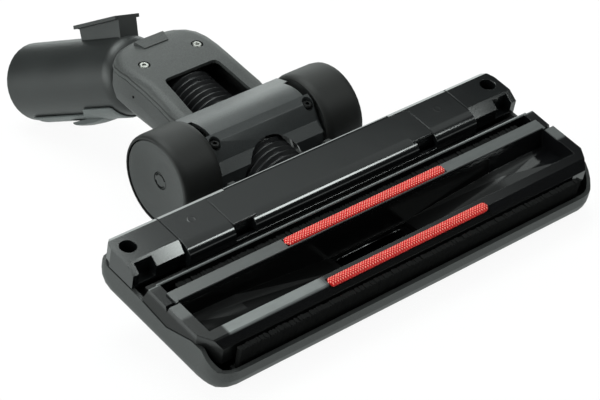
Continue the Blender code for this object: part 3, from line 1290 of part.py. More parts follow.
def main():
    for obj in list(bpy.data.objects):
        bpy.data.objects.remove(obj)
    charcoal = material("charcoal_plastic", (0.035, 0.037, 0.038), 0.48)
    gloss = material("black_gloss_plastic", (0.008, 0.009, 0.010), 0.16)
    grey = material("dark_grey_plastic", (0.045, 0.048, 0.050), 0.42)
    rubber = material("wheel_rubber", (0.028, 0.028, 0.027), 0.72)
    hose = material("hose_plastic", (0.030, 0.031, 0.032), 0.38)
    red = material("red_lint_fabric", (0.62, 0.06, 0.05), 0.85)
    bristle = material("black_bristle", (0.010, 0.010, 0.010), 0.7)
    steel = material("zinc_steel", (0.62, 0.62, 0.60), 0.3, 1.0)

    root = empty("head_frame", None)
    top_cover(charcoal, root)
    sole_plate(gloss, root)
    lint_strips(red, root)
    rear_bar(gloss, root)
    rear_insert(gloss, root)
    throat_duct(grey, root)
    axle_carriage(grey, root)
    axle_housing(grey, root)
    flex_hose(hose, root)
    cuff("hose_cuff_front", HOSE_START - 2.7, HOSE_START - CLEARANCE, DUCT_RADIUS, HOSE_BORE, grey, root)
    for side, label in ((-1, "left"), (1, "right")):
        end_block(side, gloss, root)
        pedal_pin(side, steel, root)
        axle_pin(side, steel, root)
        seat = (side * HOUSING_SCREW_X, HOUSING_SCREW_Y, 41.6 + CLEARANCE)
        screw(f"housing_screw_{label}", seat, 2.9, 2.0, 1.4, 9.0, steel, root)
        screw(f"bar_screw_{label}", (side * HOLE_X, HOLE_Y, HOLE_FLOOR_Z + CLEARANCE), 3.4, 2.2, 1.6, 10.0,
              steel, root)
        wheel(side, grey, rubber, grey, root)

    lift = empty("brush_lift_axis", root)
    bristle_strips(bristle, lift)
    brush_frame(grey, lift)
    pedal_place = (0.0, HINGE_Y, HINGE_Z)
    pedal_axis = empty("pedal_axis", root, pedal_place)
    foot_pedal(charcoal, pedal_axis, pedal_place).location = (0, 0, 0)

    neck_place = (0.0, AXLE_Y, AXLE_Z)
    neck_axis = empty("neck_axis", root, neck_place)
    neck_frame = empty("neck_frame", neck_axis, tuple(-Vector(neck_place)))
    neck_pieces(charcoal, steel, neck_frame, (0, 0, 0))
    bearing_plate(grey, neck_frame, (0, 0, 0))
    cuff("hose_cuff_rear", HOSE_END + CLEARANCE, SLEEVE_FRONT - CLEARANCE, SLEEVE_FLANGE, SLEEVE_BORE,
         grey, neck_frame)

    swivel_place = (0.0, BEND_Y, DUCT_Z)
    swivel_axis = empty("swivel_axis", neck_frame, swivel_place)
    tube_frame = empty("tube_frame", swivel_axis, tuple(-Vector(swivel_place)))
    swivel_tube(charcoal, tube_frame, (0, 0, 0))
    saddle(grey, tube_frame, (0, 0, 0))
    release_lever(grey, tube_frame)
    swivel_axis.rotation_euler.y = math.radians(SWIVEL_REST)
    set_down(root, AXLE_Y - 50.0)


main()
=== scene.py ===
# %% [markdown]
# # A vacuum floor brush, lying on its back
# The brush lies with its sole up. Its shape and joints come from a finished engineering model, and
# this lesson gives it its looks: the moulded plastics, the woven lint strips, the bristles, the
# hose, and a plain studio round it. Everything is measured in metres, in the frame of the model.

# %% Load the model
import json
import math
import random

import bmesh
import bpy
from mathutils import Matrix, Vector


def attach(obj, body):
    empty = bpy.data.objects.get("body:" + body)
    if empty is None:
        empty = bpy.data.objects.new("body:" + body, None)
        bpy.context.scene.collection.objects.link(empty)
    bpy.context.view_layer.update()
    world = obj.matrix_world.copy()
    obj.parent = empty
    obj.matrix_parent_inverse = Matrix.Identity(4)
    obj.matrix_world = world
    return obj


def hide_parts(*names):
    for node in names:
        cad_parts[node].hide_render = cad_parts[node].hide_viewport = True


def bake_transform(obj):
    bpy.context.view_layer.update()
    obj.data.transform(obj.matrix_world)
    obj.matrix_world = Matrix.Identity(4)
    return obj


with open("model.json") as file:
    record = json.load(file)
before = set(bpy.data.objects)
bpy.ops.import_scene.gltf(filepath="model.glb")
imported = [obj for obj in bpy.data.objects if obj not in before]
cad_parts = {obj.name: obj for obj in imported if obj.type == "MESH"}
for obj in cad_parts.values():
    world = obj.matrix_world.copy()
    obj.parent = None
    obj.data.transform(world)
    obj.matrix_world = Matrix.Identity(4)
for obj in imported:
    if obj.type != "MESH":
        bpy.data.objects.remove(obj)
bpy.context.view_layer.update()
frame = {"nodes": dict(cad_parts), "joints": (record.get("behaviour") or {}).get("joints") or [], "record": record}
print("pieces in the model:", len(frame["nodes"]))

# %% [markdown]
# ## The head's own frame
# The head is tipped a little, because it rests on its cover and on the end of the tube. Shapes are
# far easier to think about in a frame that is square to the sole: X across the head, Y to the rear,
# Z out of the sole, in millimetres. The model's joints tell where that frame is. The bristles slide
# straight out of the sole, which gives its Z, and the neck turns about the axle, which gives a
# point that we know.

# %% The head's frame from two joints
MM = 0.001
AXLE = Vector((0.0, 131.4, 22.4))

joints = {joint["name"]: joint for joint in frame["joints"]}
head_z = Vector(joints["brush_lift"]["axis"]).normalized()
head_x = Vector((1.0, 0.0, 0.0))
head_y = head_z.cross(head_x)
turn = Matrix((head_x, head_y, head_z)).transposed().to_4x4()
shift = Vector(joints["neck_tilt"]["pos_m"]) - turn @ (AXLE * MM)
to_world = Matrix.Translation(shift) @ turn @ Matrix.Scale(MM, 4)
print("the head leans", round(math.degrees(math.atan2(-head_z.y, head_z.z)), 2), "degrees")

# %% [markdown]
# ## A short way to write shaders
# Blender's shader editor draws a material as boxes and wires. In code the same wires read better as
# sums, so a small class wraps one output of a node, and the signs + - * / ** on it make the Math
# nodes. Every other node comes from one method, which takes the node's type, its settings and its
# inputs. It serves the world of the studio as well as the materials.

# %% Numbers that vary, and the nodes they come from
class Varying:
    """One number output of a node. Arithmetic on it adds Math nodes."""

    def __init__(self, shading, socket):
        self.shading = shading
        self.socket = socket

    def __add__(self, other):
        return self.shading.work("ADD", self, other)

    def __radd__(self, other):
        return self.shading.work("ADD", other, self)

    def __sub__(self, other):
        return self.shading.work("SUBTRACT", self, other)

    def __rsub__(self, other):
        return self.shading.work("SUBTRACT", other, self)

    def __mul__(self, other):
        return self.shading.work("MULTIPLY", self, other)

    def __rmul__(self, other):
        return self.shading.work("MULTIPLY", other, self)

    def __truediv__(self, other):
        return self.shading.work("DIVIDE", self, other)

    def __rtruediv__(self, other):
        return self.shading.work("DIVIDE", other, self)

    def __pow__(self, other):
        return self.shading.work("POWER", self, other)

    def __rpow__(self, other):
        return self.shading.work("POWER", other, self)


class Shading:
    """The nodes of a material or of the world."""

    def __init__(self, tree):
        self.tree = tree

    def node(self, kind, settings=None, inputs=None):
        made = self.tree.nodes.new(kind)
        for key, value in (settings or {}).items():
            if key == "stops":
                elements = made.color_ramp.elements
                while len(elements) < len(value):
                    elements.new(0.5)
                for element, (position, colour) in zip(elements, value):
                    element.position = position
                    element.color = colour
            else:
                setattr(made, key, value)
        for key, value in (inputs or {}).items():
            self.feed(made.inputs[key], value)
        return made

    def feed(self, socket, value):
        if isinstance(value, Varying):
            self.tree.links.new(value.socket, socket)
        elif isinstance(value, bpy.types.NodeSocket):
            self.tree.links.new(value, socket)
        else:
            socket.default_value = value

    def work(self, operation, *values):
        node = self.node("ShaderNodeMath", {"operation": operation}, dict(enumerate(values)))
        return Varying(self, node.outputs[0])

    def between(self, value, low, high):
        """0 where the value is below low, 1 above high, and a straight slope between them."""
        limits = {"Value": value, "From Min": low, "From Max": high}
        return Varying(self, self.node("ShaderNodeMapRange", {}, limits).outputs[0])

    def ramp(self, value, stops):
        """A colour for each value, between stops of a position and a colour."""
        return self.node("ShaderNodeValToRGB", {"stops": stops}, {"Fac": value}).outputs["Color"]

    def rays(self):
        """For camera, glossy and transmission rays, 1 where the ray is of that kind."""
        outputs = self.node("ShaderNodeLightPath").outputs
        kinds = ("Camera", "Glossy", "Transmission")
        return [Varying(self, outputs[f"Is {kind} Ray"]) for kind in kinds]


print("ready to write shaders:", Varying.__name__, "and", Shading.__name__)

# %% [markdown]
# ## What a finish is
# A finish is one material on the Principled shader. It reads the coordinates of the object, so a
# pattern stays where it is on the piece when the piece moves. Roughness, metal and the strength of
# the mirror image are plain numbers; colour, roughness and bump can vary from place to place.

# %% A finish
class Finish(Shading):
    """A material on one Principled shader."""

    def __init__(self, name, roughness, metallic=0.0, specular=0.5):
        self.material = bpy.data.materials.new(name)
        self.material.use_nodes = True
        super().__init__(self.material.node_tree)
        self.shader = self.tree.nodes["Principled BSDF"]
        self.shader.inputs["Roughness"].default_value = roughness
        self.shader.inputs["Metallic"].default_value = metallic
        self.shader.inputs["Specular IOR Level"].default_value = specular
        self.coordinates = self.node("ShaderNodeTexCoord").outputs["Object"]

    def noise(self, scale, detail=3.0, roughness=0.5, stretch=(1.0, 1.0, 1.0)):
        mapping = self.node("ShaderNodeMapping", {}, {"Vector": self.coordinates, "Scale": stretch})
        node = self.node("ShaderNodeTexNoise", {}, {
            "Vector": mapping.outputs["Vector"], "Scale": scale,
            "Detail": detail, "Roughness": roughness,
        })
        return Varying(self, node.outputs[0])

    def place(self):
        """X, Y and Z of a point of the piece, in metres, as three numbers."""
        parts = self.node("ShaderNodeSeparateXYZ", {}, {"Vector": self.coordinates})
        return [Varying(self, parts.outputs[name]) for name in "XYZ"]

    def in_head(self):
        """Place of a point in the head's frame, in millimetres, as three numbers."""
        x, y, z = self.place()
        start = [shift.dot(axis) / MM for axis in (head_x, head_y, head_z)]
        across = x / MM - start[0]
        along = (y * head_y.y + z * head_y.z) / MM - start[1]
        out = (y * head_z.y + z * head_z.z) / MM - start[2]
        return across, along, out

    def blend(self, amount, first, second):
        node = self.node("ShaderNodeMix", {"data_type": "RGBA"}, {0: amount, 6: first, 7: second})
        return node.outputs[2]

    def colour(self, value):
        self.feed(self.shader.inputs["Base Color"], value)

    def tones(self, pattern, *stops):
        """A colour that follows a pattern, between stops of a position and a colour."""
        self.colour(self.ramp(pattern, [(position, (*colour, 1.0)) for position, colour in stops]))

    def rough(self, value):
        self.feed(self.shader.inputs["Roughness"], value)

    def bump(self, height, strength, distance):
        settings = {"Height": height, "Strength": strength, "Distance": distance}
        node = self.node("ShaderNodeBump", {}, settings)
        self.feed(self.shader.inputs["Normal"], node.outputs["Normal"])

    def mix_in(self, other, amount):
        """Lay another shader over this one, as much as the amount says."""
        inputs = {0: amount, 1: self.shader.outputs[0], 2: other.outputs[0]}
        mix = self.node("ShaderNodeMixShader", {}, inputs)
        self.feed(self.tree.nodes["Material Output"].inputs["Surface"], mix.outputs[0])


print("ready to write materials:", Finish.__name__)

# %% [markdown]
# ## Moulded plastics
# Three plastics make most of the brush. The cover, neck and tube have a fine spark-eroded grain
# that scatters the light, so black looks dark grey on them. The sole and the bar came out of a
# polished mould and mirror the room, with faint hand marks. The housing over the axle and the
# wheels are smoother than the cover. In each one a slow noise drives the roughness and a fast one
# drives the bump, because real mouldings are never quite even.

# %% Grained plastic
DARKER, LIGHTER = 0.62, 1.45


def grained_plastic(name, colour, roughness, grain):
    """Plastic with a fine grain. The grain is a noise scale: the higher, the finer."""
    finish = Finish(name, roughness, specular=0.42)
    broad = finish.noise(28.0, 3.0)
    fine = finish.noise(grain, 2.0, 0.6)
    dark = [part * DARKER for part in colour]
    light = [part * LIGHTER for part in colour]
    finish.tones(broad * 0.35 + fine * 0.65, (0.34, dark), (0.68, light))
    finish.rough(broad * 0.10 + (roughness - 0.05))
    finish.bump(fine, 0.45, 0.0002)
    return finish.material


charcoal = grained_plastic("charcoal_grained", (0.027, 0.028, 0.028), 0.52, 1500.0)
tube_black = grained_plastic("tube_grained", (0.013, 0.014, 0.014), 0.38, 2200.0)
housing_grey = grained_plastic("housing_grained", (0.026, 0.028, 0.029), 0.36, 2200.0)
wheel_grey = grained_plastic("wheel_disc_grained", (0.019, 0.020, 0.020), 0.46, 2000.0)
saddle_grey = grained_plastic("saddle_grained", (0.060, 0.066, 0.066), 0.42, 2200.0)
grained = (charcoal, tube_black, housing_grey, wheel_grey, saddle_grey)
print("grained plastics:", [made.name for made in grained])

# %% [markdown]
# ## The polished plastic and its pin marks
# A polished mould gives a black mirror, so almost nothing is seen of its own colour. Where the pins
# push the bar out of its mould they leave two faint rings, one at each side. A ring is a distance
# from a point, with a rise and a fall, and it is added to the height of the bump.

# %% Polished plastic
PIN_ACROSS, PIN_ALONG = 87.0, 75.0
RING_RISES = (1.5, 1.9)
RING_FALLS = (2.1, 2.5)


def polished_plastic(name, colour, roughness, pin_marks=False):
    finish = Finish(name, roughness, specular=0.6)
    smear = finish.noise(16.0, 4.0, 0.55, (0.5, 1.6, 1.0))
    height = finish.noise(60.0, 1.0, 0.4)
    if pin_marks:
        across, along, out = finish.in_head()
        aside = finish.work("ABSOLUTE", across) - PIN_ACROSS
        distance = (aside ** 2.0 + (along - PIN_ALONG) ** 2.0) ** 0.5
        ring = finish.between(distance, *RING_RISES) - finish.between(distance, *RING_FALLS)
        height = height + ring * 14.0
    finish.colour((*colour, 1.0))
    finish.rough(smear * 0.12 + (roughness - 0.06))
    finish.bump(height, 0.05, 0.0006)
    return finish.material


BLACK = (0.005, 0.0055, 0.006)
gloss_black = polished_plastic("black_polished", BLACK, 0.13)
bar_black = polished_plastic("bar_polished", BLACK, 0.13, pin_marks=True)
duct_black = polished_plastic("duct_polished", (0.004, 0.004, 0.0045), 0.24)
print("polished plastics:", gloss_black.name, bar_black.name, duct_black.name)

# %% [markdown]
# ## Rubber, hose and metal
# The tyres are soft rubber, nearly black and dusted by the floor. The hose is a thin plastic with a
# soft shine. The screws are plated steel: two on the neck and the axle pins are bright zinc, and the
# others are blackened. In each one a noise moves the colour between two close tones and drives the
# roughness too.

# %% Rubber, hose and metal
def rubber():
    finish = Finish("wheel_rubber_worn", 0.60, specular=0.38)
    dust = finish.noise(45.0, 5.0, 0.6)
    finish.tones(dust, (0.35, (0.003, 0.003, 0.003)), (0.75, (0.008, 0.008, 0.007)))
    finish.rough(dust * 0.16 + 0.52)
    finish.bump(finish.noise(900.0, 2.0), 0.18, 0.0002)
    return finish.material


def hose_plastic():
    finish = Finish("hose_ribbed", 0.32)
    wear = finish.noise(90.0, 4.0)
    finish.tones(wear, (0.35, (0.010, 0.010, 0.011)), (0.75, (0.020, 0.020, 0.021)))
    finish.rough(wear * 0.2 + 0.2)
    finish.bump(finish.noise(700.0, 2.0), 0.12, 0.0002)
    return finish.material


def plated(name, dark, light, roughness):
    finish = Finish(name, roughness, metallic=1.0)
    spots = finish.noise(1200.0, 3.0)
    finish.tones(spots, (0.3, dark), (0.7, light))
    finish.rough(spots * 0.2 + (roughness - 0.1))
    return finish.material


tyre_rubber = rubber()
hose_black = hose_plastic()
bright_zinc = plated("zinc_plate", (0.30, 0.30, 0.28), (0.52, 0.52, 0.50), 0.36)
dark_zinc = plated("zinc_plate_blackened", (0.012, 0.012, 0.012), (0.028, 0.028, 0.028), 0.50)
print("soft and metal finishes:", tyre_rubber.name, hose_black.name, bright_zinc.name, dark_zinc.name)

# %% [markdown]
# ## Dressing the model's own mouldings
# The engineering model is made of loose triangles with hard edges. Real mouldings have small
# radii, and it is the thin bright line along a radius that tells the eye how a piece is made. So
# each piece is copied, its triangles are merged back into faces, and a Bevel modifier rounds what
# is sharper than 35 degrees. The copy stands for the model's piece, which is then not shown.

# %% A dressed copy
BODY_OF = {
    node: body for body, nodes in frame["record"]["behaviour"]["bodies"].items() for node in nodes
}
WELD = 2e-6
FLAT_ANGLE = math.radians(0.6)
ROUNDED_ANGLE = math.radians(35)
END_SLOPE = 0.22
END_START = 133.0


def stands_for(piece, node, rides=True):
    """The piece takes the node's place: it rides on the node's body when it rides, and the node is hidden."""
    if rides:
        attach(piece, BODY_OF[node])
    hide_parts(node)


def dressed(node, finish, radius=0.4, sharp=34.0, rides=True, end_finish=None):
    """A smooth copy of one piece of the model, with its edges rounded by a radius in millimetres.
    With an end finish, the faces at the ends of the head that look outwards get that finish."""
    mesh = frame["nodes"][node].data.copy()
    bm = bmesh.new()
    bm.from_mesh(mesh)
    bmesh.ops.remove_doubles(bm, verts=bm.verts, dist=WELD)
    bmesh.ops.dissolve_limit(bm, angle_limit=FLAT_ANGLE, verts=bm.verts, edges=bm.edges)
    if end_finish:
        for face in bm.faces:
            at_end = abs(face.calc_center_median().x) > END_START * MM
            face.material_index = 1 if at_end and abs(face.normal.x) > END_SLOPE else 0
    bm.to_mesh(mesh)
    bm.free()
    mesh.materials.clear()
    mesh.materials.append(finish)
    if end_finish:
        mesh.materials.append(end_finish)
    mesh.shade_smooth()
    mesh.set_sharp_from_angle(angle=math.radians(sharp))
    piece = bpy.data.objects.new(f"{node}_finished", mesh)
    bpy.context.scene.collection.objects.link(piece)
    if radius:
        bevel = piece.modifiers.new("Bevel", "BEVEL")
        bevel.width = radius * MM
        bevel.segments = 2
        bevel.limit_method = "ANGLE"
        bevel.angle_limit = ROUNDED_ANGLE
        bevel.use_clamp_overlap = True
        bevel.harden_normals = False
    weighted = piece.modifiers.new("Weighted Normal", "WEIGHTED_NORMAL")
    weighted.keep_sharp = True
    weighted.weight = 90
    stands_for(piece, node, rides)
    return piece


print("bodies:", sorted(set(BODY_OF.values())))

# %% [markdown]
# ## Which piece gets which finish
# One table says it: each finish, the radius of its edges in millimetres, and the pieces that have
# both. The tyres carry their radii in the model already, and the duct and the cuffs are hidden, so
# theirs is 0. The end blocks are polished on top, but their outer faces are grained like the cover.
# Screws and pins are found by their names.

# %% Dress the mouldings
FINISHES = [
    (charcoal, 0.5, ("top_cover", "neck_shell")),
    (charcoal, 0.4, ("foot_pedal", "axle_carriage")),
    (charcoal, 0.3, ("brush_frame",)),
    (charcoal, 0.0, ("hose_cuff_front", "hose_cuff_rear", "swivel_bearing")),
    (tube_black, 0.4, ("swivel_tube",)),
    (bar_black, 0.25, ("rear_bar",)),
    (gloss_black, 0.25, ("rear_insert",)),
    (duct_black, 0.0, ("throat_duct",)),
    (housing_grey, 0.4, ("axle_housing",)),
    (saddle_grey, 0.3, ("latch_saddle",)),
    (saddle_grey, 0.4, ("release_lever",)),
    (wheel_grey, 0.4, ("wheel_disc_left", "wheel_disc_right")),
    (wheel_grey, 0.2, ("hub_clip_left", "hub_clip_right")),
    (tyre_rubber, 0.0, ("tyre_left", "tyre_right")),
]
pieces = [dressed(node, finish, radius) for finish, radius, nodes in FINISHES for node in nodes]
pieces += [dressed(f"end_block_{side}", gloss_black, end_finish=charcoal) for side in ("left", "right")]
for node in frame["nodes"]:
    if "screw" in node or "pin" in node:
        bright = "neck" in node or "axle" in node
        pieces.append(dressed(node, bright_zinc if bright else dark_zinc, 0.0))
print("dressed pieces:", len(pieces))

# %% [markdown]
# ## The neck
# A bead runs along each flank of the neck, beside the seam of its two shells, so the eye sees two
# fine grooves side by side. The seam is modelled. The second groove is about a millimetre wide, so
# it is drawn. A ramp along the neck holds the groove's height; close to it the colour is painted
# almost black, as painted shade in the groove, and the bump is lowered.

# %% The neck's second groove
GROOVE = [(145.0, 33.4), (201.3, 33.8), (211.5, 31.8), (219.5, 29.4), (237.5, 28.0)]
GROOVE_START, GROOVE_SPAN = 140.0, 100.0
GROOVE_LOW, GROOVE_RISE = 20.0, 20.0
GROOVE_EDGE = (0.30, 0.58)
GROOVE_PAINTED_SHADE = (0.002, 0.002, 0.002, 1.0)
GRAIN_DARK = (0.022, 0.023, 0.023, 1.0)
GRAIN_LIGHT = (0.052, 0.054, 0.053, 1.0)


def neck_finish():
    finish = Finish("neck_grained", 0.52, specular=0.42)
    across, along, out = finish.in_head()
    stops = []
    for y, z in GROOVE:
        level = (z - GROOVE_LOW) / GROOVE_RISE
        stops.append(((y - GROOVE_START) / GROOVE_SPAN, (level, level, level, 1.0)))
    line = finish.ramp((along - GROOVE_START) / GROOVE_SPAN, stops)
    level = Varying(finish, finish.node("ShaderNodeSeparateColor", {}, {0: line}).outputs[0])
    distance = finish.work("ABSOLUTE", out - (level * GROOVE_RISE + GROOVE_LOW))
    groove = 1.0 - finish.between(distance, *GROOVE_EDGE)
    fine = finish.noise(1500.0, 2.0, 0.6)
    grain = finish.ramp(fine, [(0.34, GRAIN_DARK), (0.68, GRAIN_LIGHT)])
    # Painted shade: near the groove the colour goes almost black.
    finish.colour(finish.blend(groove, grain, GROOVE_PAINTED_SHADE))
    finish.rough(fine * 0.10 + 0.47)
    finish.bump(fine * 0.1 - groove, 0.6, 0.0006)
    return finish.material


neck = dressed("neck_base", neck_finish(), 0.5)
print("neck:", len(neck.data.polygons), "faces")

# %% [markdown]
# ## The sole
# The sole is the piece that the eye goes to. Its channel floor is folded like paper, in flat fields
# that meet in shallow creases, so on this piece far smaller angles stay sharp. Its lips and its ends
# are rubbed a little dull. The grey on the lips is painted reflection, broken up by scuffs of wear:
# it is brightest at the left end of the front lip, and grows towards the right on the rear lip. The
# channel, but for its right end, and the left cheek get painted shade, from a second, darker and
# less glossy shader mixed in there. The thin rail behind the rear bristles gets a painted highlight.
# The place of each point in the head's frame tells these zones apart: each limit below is a pair of
# millimetres, where a zone begins and where it is full. The outer faces of both ends have the grain
# of the cover.

# %% The sole's zones and its finish
LIP_TOPS = (49.0, 49.7)
REAR_HALF = (20.0, 22.0)
FRONT_STRIP_START = (-60.0, -55.0)
STRIP_ENDS = (-60.0, 60.0)
LEFT_CHEEK_END = (-122.0, -120.5)
RAIL_ALONG = (46.5, 46.9)
RAIL_OUT = (48.4, 48.8)
CHANNEL_TOP = (45.5, 48.0)
RIGHT_FIELD = (84.0, 92.0)
SOLE_BLACK = (0.004, 0.004, 0.0045, 1.0)
WORN_AND_PAINTED_SHEEN_GREY = (0.145, 0.152, 0.152, 1.0)


def sole_finish():
    finish = Finish("sole_polished_rubbed_and_painted_light", 0.2, specular=0.55)
    across, along, out = finish.in_head()
    top = finish.between(out, *LIP_TOPS)
    rear = finish.between(along, *REAR_HALF)
    left = 1.0 - finish.between(across, *FRONT_STRIP_START)
    inside = finish.between(across, *LEFT_CHEEK_END)
    toward_right = finish.between(across, *STRIP_ENDS)
    rail = finish.between(along, *RAIL_ALONG) * finish.between(out, *RAIL_OUT)
    smear = finish.noise(16.0, 4.0, 0.55, (0.5, 1.6, 1.0))
    scuff = finish.noise(240.0, 4.0, 0.6, (0.25, 1.0, 1.0))
    rubbed = top * (rear + left - rear * left)
    # The grey on the lips is painted reflection, shaped by where the lamps mirror in them, with scuffs of wear
    # from the noise; the rail gets a painted highlight.
    lip_painted_sheen = left * (1.0 - rear) * inside + rear * (toward_right * 0.22 + 0.24)
    wear_and_sheen = (top * (1.0 - rail) * lip_painted_sheen + rail * 0.8) * (scuff * 0.7 + 0.6)
    finish.colour(finish.blend(wear_and_sheen, SOLE_BLACK, WORN_AND_PAINTED_SHEEN_GREY))
    finish.rough(rubbed * 0.28 + smear * 0.06 + 0.08)
    finish.bump(finish.noise(2600.0, 2.0, 0.6) * rubbed, 0.2, 0.0001)
    # Painted shade: a darker, less glossy shader mixed into the channel and the left cheek.
    channel_painted_shade = finish.node("ShaderNodeBsdfPrincipled", {}, {
        "Base Color": (0.003, 0.003, 0.003, 1.0), "Roughness": 0.3, "Specular IOR Level": 0.12,
    })
    channel = (1.0 - finish.between(out, *CHANNEL_TOP)) * (1.0 - finish.between(across, *RIGHT_FIELD))
    cheek = top * (1.0 - inside) * (1.0 - rear)
    finish.mix_in(channel_painted_shade, channel * 0.85 + cheek * 0.7)
    return finish.material


sole = dressed("sole_plate", sole_finish(), 0.3, sharp=9.0, end_finish=charcoal)
print("sole plate:", len(sole.data.polygons), "faces")

# %% [markdown]
# ## The hose
# The hose is one moulded bellows from the head to the neck, which on the real brush bends where the
# neck turns about the axle. Here it keeps the model's shape: it is dressed like the other mouldings,
# but it rides on neither body, and its place is baked into its points.

hose = dressed("flex_hose", hose_black, 0.5, rides=False)
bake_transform(hose)

# %% [markdown]
# ## The lint strips
# Two coral-red strips lie on the lips of the sole. Each is a narrow woven braid with a crowned
# section and rounded ends, and its threads cross in small chevrons. A grid of faces is bent over
# the lip and crowned; the braid itself is only a fraction of a millimetre deep, so it is drawn by
# two crossed waves that drive both the colour and the bump. The colour is painted shade, a deeper
# red, in the dips between threads, and a painted highlight, pale pink, on their tops.

# %% The woven finish
THREAD_WAVE = 0.0034


def woven(name):
    finish = Finish(name, 0.72, specular=0.2)
    x, y, z = finish.place()

    def thread(distance):
        return finish.work("ABSOLUTE", finish.work("SINE", distance * (2 * math.pi / THREAD_WAVE)))

    fuzz = finish.noise(2200.0, 3.0)
    height = thread(x + y) * thread(x - y) + fuzz * 0.2
    # Over the woven pattern: painted shade in the dips between threads and painted highlight on their tops.
    shade_red, lit, highlight_pink = (0.42, 0.004, 0.004), (0.80, 0.020, 0.018), (1.0, 0.40, 0.33)
    finish.tones(height, (0.06, shade_red), (0.40, lit), (0.66, lit), (0.95, highlight_pink))
    finish.bump(height, 1.0, 0.0005)
    finish.shader.inputs["Sheen Weight"].default_value = 0.04
    return finish.material


red_woven = woven("red_woven_strip")
print("woven finish:", red_woven.name)

# %% [markdown]
# ## One crowned strip
# The strip starts as a flat grid from -1 to 1. Its long side becomes the length, and its short side
# is laid along a path over the lip. Towards both ends the width closes on a circle, which rounds
# them. The crown lifts the middle of the section, square to the path. A Solidify modifier gives the
# braid its thickness. A small helper turns a finished bmesh into an object, and the bristles and the
# floor use it too.

# %% One crowned strip
STRIP_HALF = 56.4
NARROWEST = 0.0004
SECTION_CURVE = 2.6
END_FALL = 0.6


def object_from(bm, name, finish):
    """A new object of the scene, at the origin, with the faces of a bmesh."""
    mesh = bpy.data.meshes.new(name)
    bm.to_mesh(mesh)
    bm.free()
    mesh.materials.append(finish)
    made = bpy.data.objects.new(name, mesh)
    bpy.context.scene.collection.objects.link(made)
    return made


def point_on(path, distance):
    """Where a path of (y, z) points is after a distance, and how it leans there."""
    for (y0, z0), (y1, z1) in zip(path, path[1:]):
        step = math.hypot(y1 - y0, z1 - z0)
        if distance <= step + 1e-6:
            break
        distance -= step
    share = distance / step
    return y0 + (y1 - y0) * share, z0 + (z1 - z0) * share, math.atan2(z1 - z0, y1 - y0)


def lint_strip(node, path, crown):
    """A strip laid over a path of (y, z) points of the head, with a round top."""
    bm = bmesh.new()
    bmesh.ops.create_grid(bm, x_segments=96, y_segments=12, size=1.0)
    round_end = sum(math.dist(*pair) for pair in zip(path, path[1:])) / 2
    for vert in bm.verts:
        u, v = vert.co.x, vert.co.y
        end = max(abs(u) * STRIP_HALF - (STRIP_HALF - round_end), 0.0) / round_end
        width = math.sqrt(max(1.0 - min(end, 1.0) ** 2, NARROWEST))
        y, z, lean = point_on(path, round_end * (1 + v * width))
        rise = crown * math.sqrt(max(1.0 - abs(v) ** SECTION_CURVE, 0.0)) * width ** END_FALL
        lifted = Vector((u * STRIP_HALF, y - rise * math.sin(lean), z + rise * math.cos(lean)))
        vert.co = to_world @ lifted
    bmesh.ops.remove_doubles(bm, verts=bm.verts, dist=1e-6)
    piece = object_from(bm, f"{node}_woven", red_woven)
    piece.data.shade_smooth()
    solid = piece.modifiers.new("Solidify", "SOLIDIFY")
    solid.thickness = 0.0006
    solid.offset = -1.0
    stands_for(piece, node)
    return piece


front_path = [(-0.1, 48.4), (1.6, 49.7), (2.6, 50.1), (5.2, 50.1)]
rear_path = [(33.7, 50.0), (39.8, 50.0)]
front_strip = lint_strip("front_lint_strip", front_path, 1.0)
rear_strip = lint_strip("rear_lint_strip", rear_path, 1.3)
print("lint strips:", len(front_strip.data.polygons), "and", len(rear_strip.data.polygons), "faces")

# %% [markdown]
# ## The bristles
# A bristle strip is a row of tufts pinched into a holder. Modelling each hair would cost far more
# than it shows, so each tuft is a tapered wedge of a few faces, with its tip cut at a slightly
# different height and lean. A fixed seed makes every run grow the same brush.

# %% Rows of tufts
ROW_HALF = 120.8
TUFT_SIDES = 6
TUFT_ROOT, TUFT_TIP = 0.52, 0.66


def bristle_finish():
    finish = Finish("black_bristle_hair", 0.75, specular=0.12)
    hairs = finish.noise(900.0, 2.0, 0.5, (3.0, 3.0, 0.15))
    finish.tones(hairs, (0.3, (0.001, 0.001, 0.001)), (0.8, (0.006, 0.006, 0.006)))
    finish.bump(hairs, 0.6, 0.0003)
    return finish.material


bristle_black = bristle_finish()


def tuft_row(node, y_low, y_high, z_low, z_high, pitch, seed):
    """Tufts side by side over the width of the head, between two depths and two heights."""
    chance = random.Random(seed)
    tall = z_high - z_low
    bm = bmesh.new()
    for i in range(int(2 * ROW_HALF / pitch)):
        made = bmesh.ops.create_cone(bm, cap_ends=True, segments=TUFT_SIDES, depth=tall,
                                     radius1=pitch * TUFT_ROOT, radius2=pitch * TUFT_TIP)
        flatten = (y_high - y_low) / (2 * pitch * TUFT_TIP) * chance.uniform(0.86, 1.0)
        lean = chance.uniform(-0.025, 0.025)
        trim = chance.uniform(-0.5, 0.2)
        for vert in made["verts"]:
            share = vert.co.z / tall + 0.5
            vert.co.y *= flatten
            vert.co.x += lean * share * tall
            vert.co.z += trim * share
        middle = (-ROW_HALF + (i + 0.5) * pitch, (y_low + y_high) / 2, (z_low + z_high) / 2)
        bmesh.ops.translate(bm, verts=made["verts"], vec=middle)
    bmesh.ops.transform(bm, matrix=to_world, verts=bm.verts)
    piece = object_from(bm, f"{node}_tufts", bristle_black)
    stands_for(piece, node)
    return piece


def tufts_in(row):
    return len(row.data.polygons) // (TUFT_SIDES + 2)


front_tufts = tuft_row("front_bristles", -7.9, -3.8, 31.8, 45.3, pitch=1.5, seed=3)
rear_tufts = tuft_row("rear_bristles", 40.9, 46.1, 31.8, 46.8, pitch=1.6, seed=5)
print("tufts:", tufts_in(front_tufts), "and", tufts_in(rear_tufts))

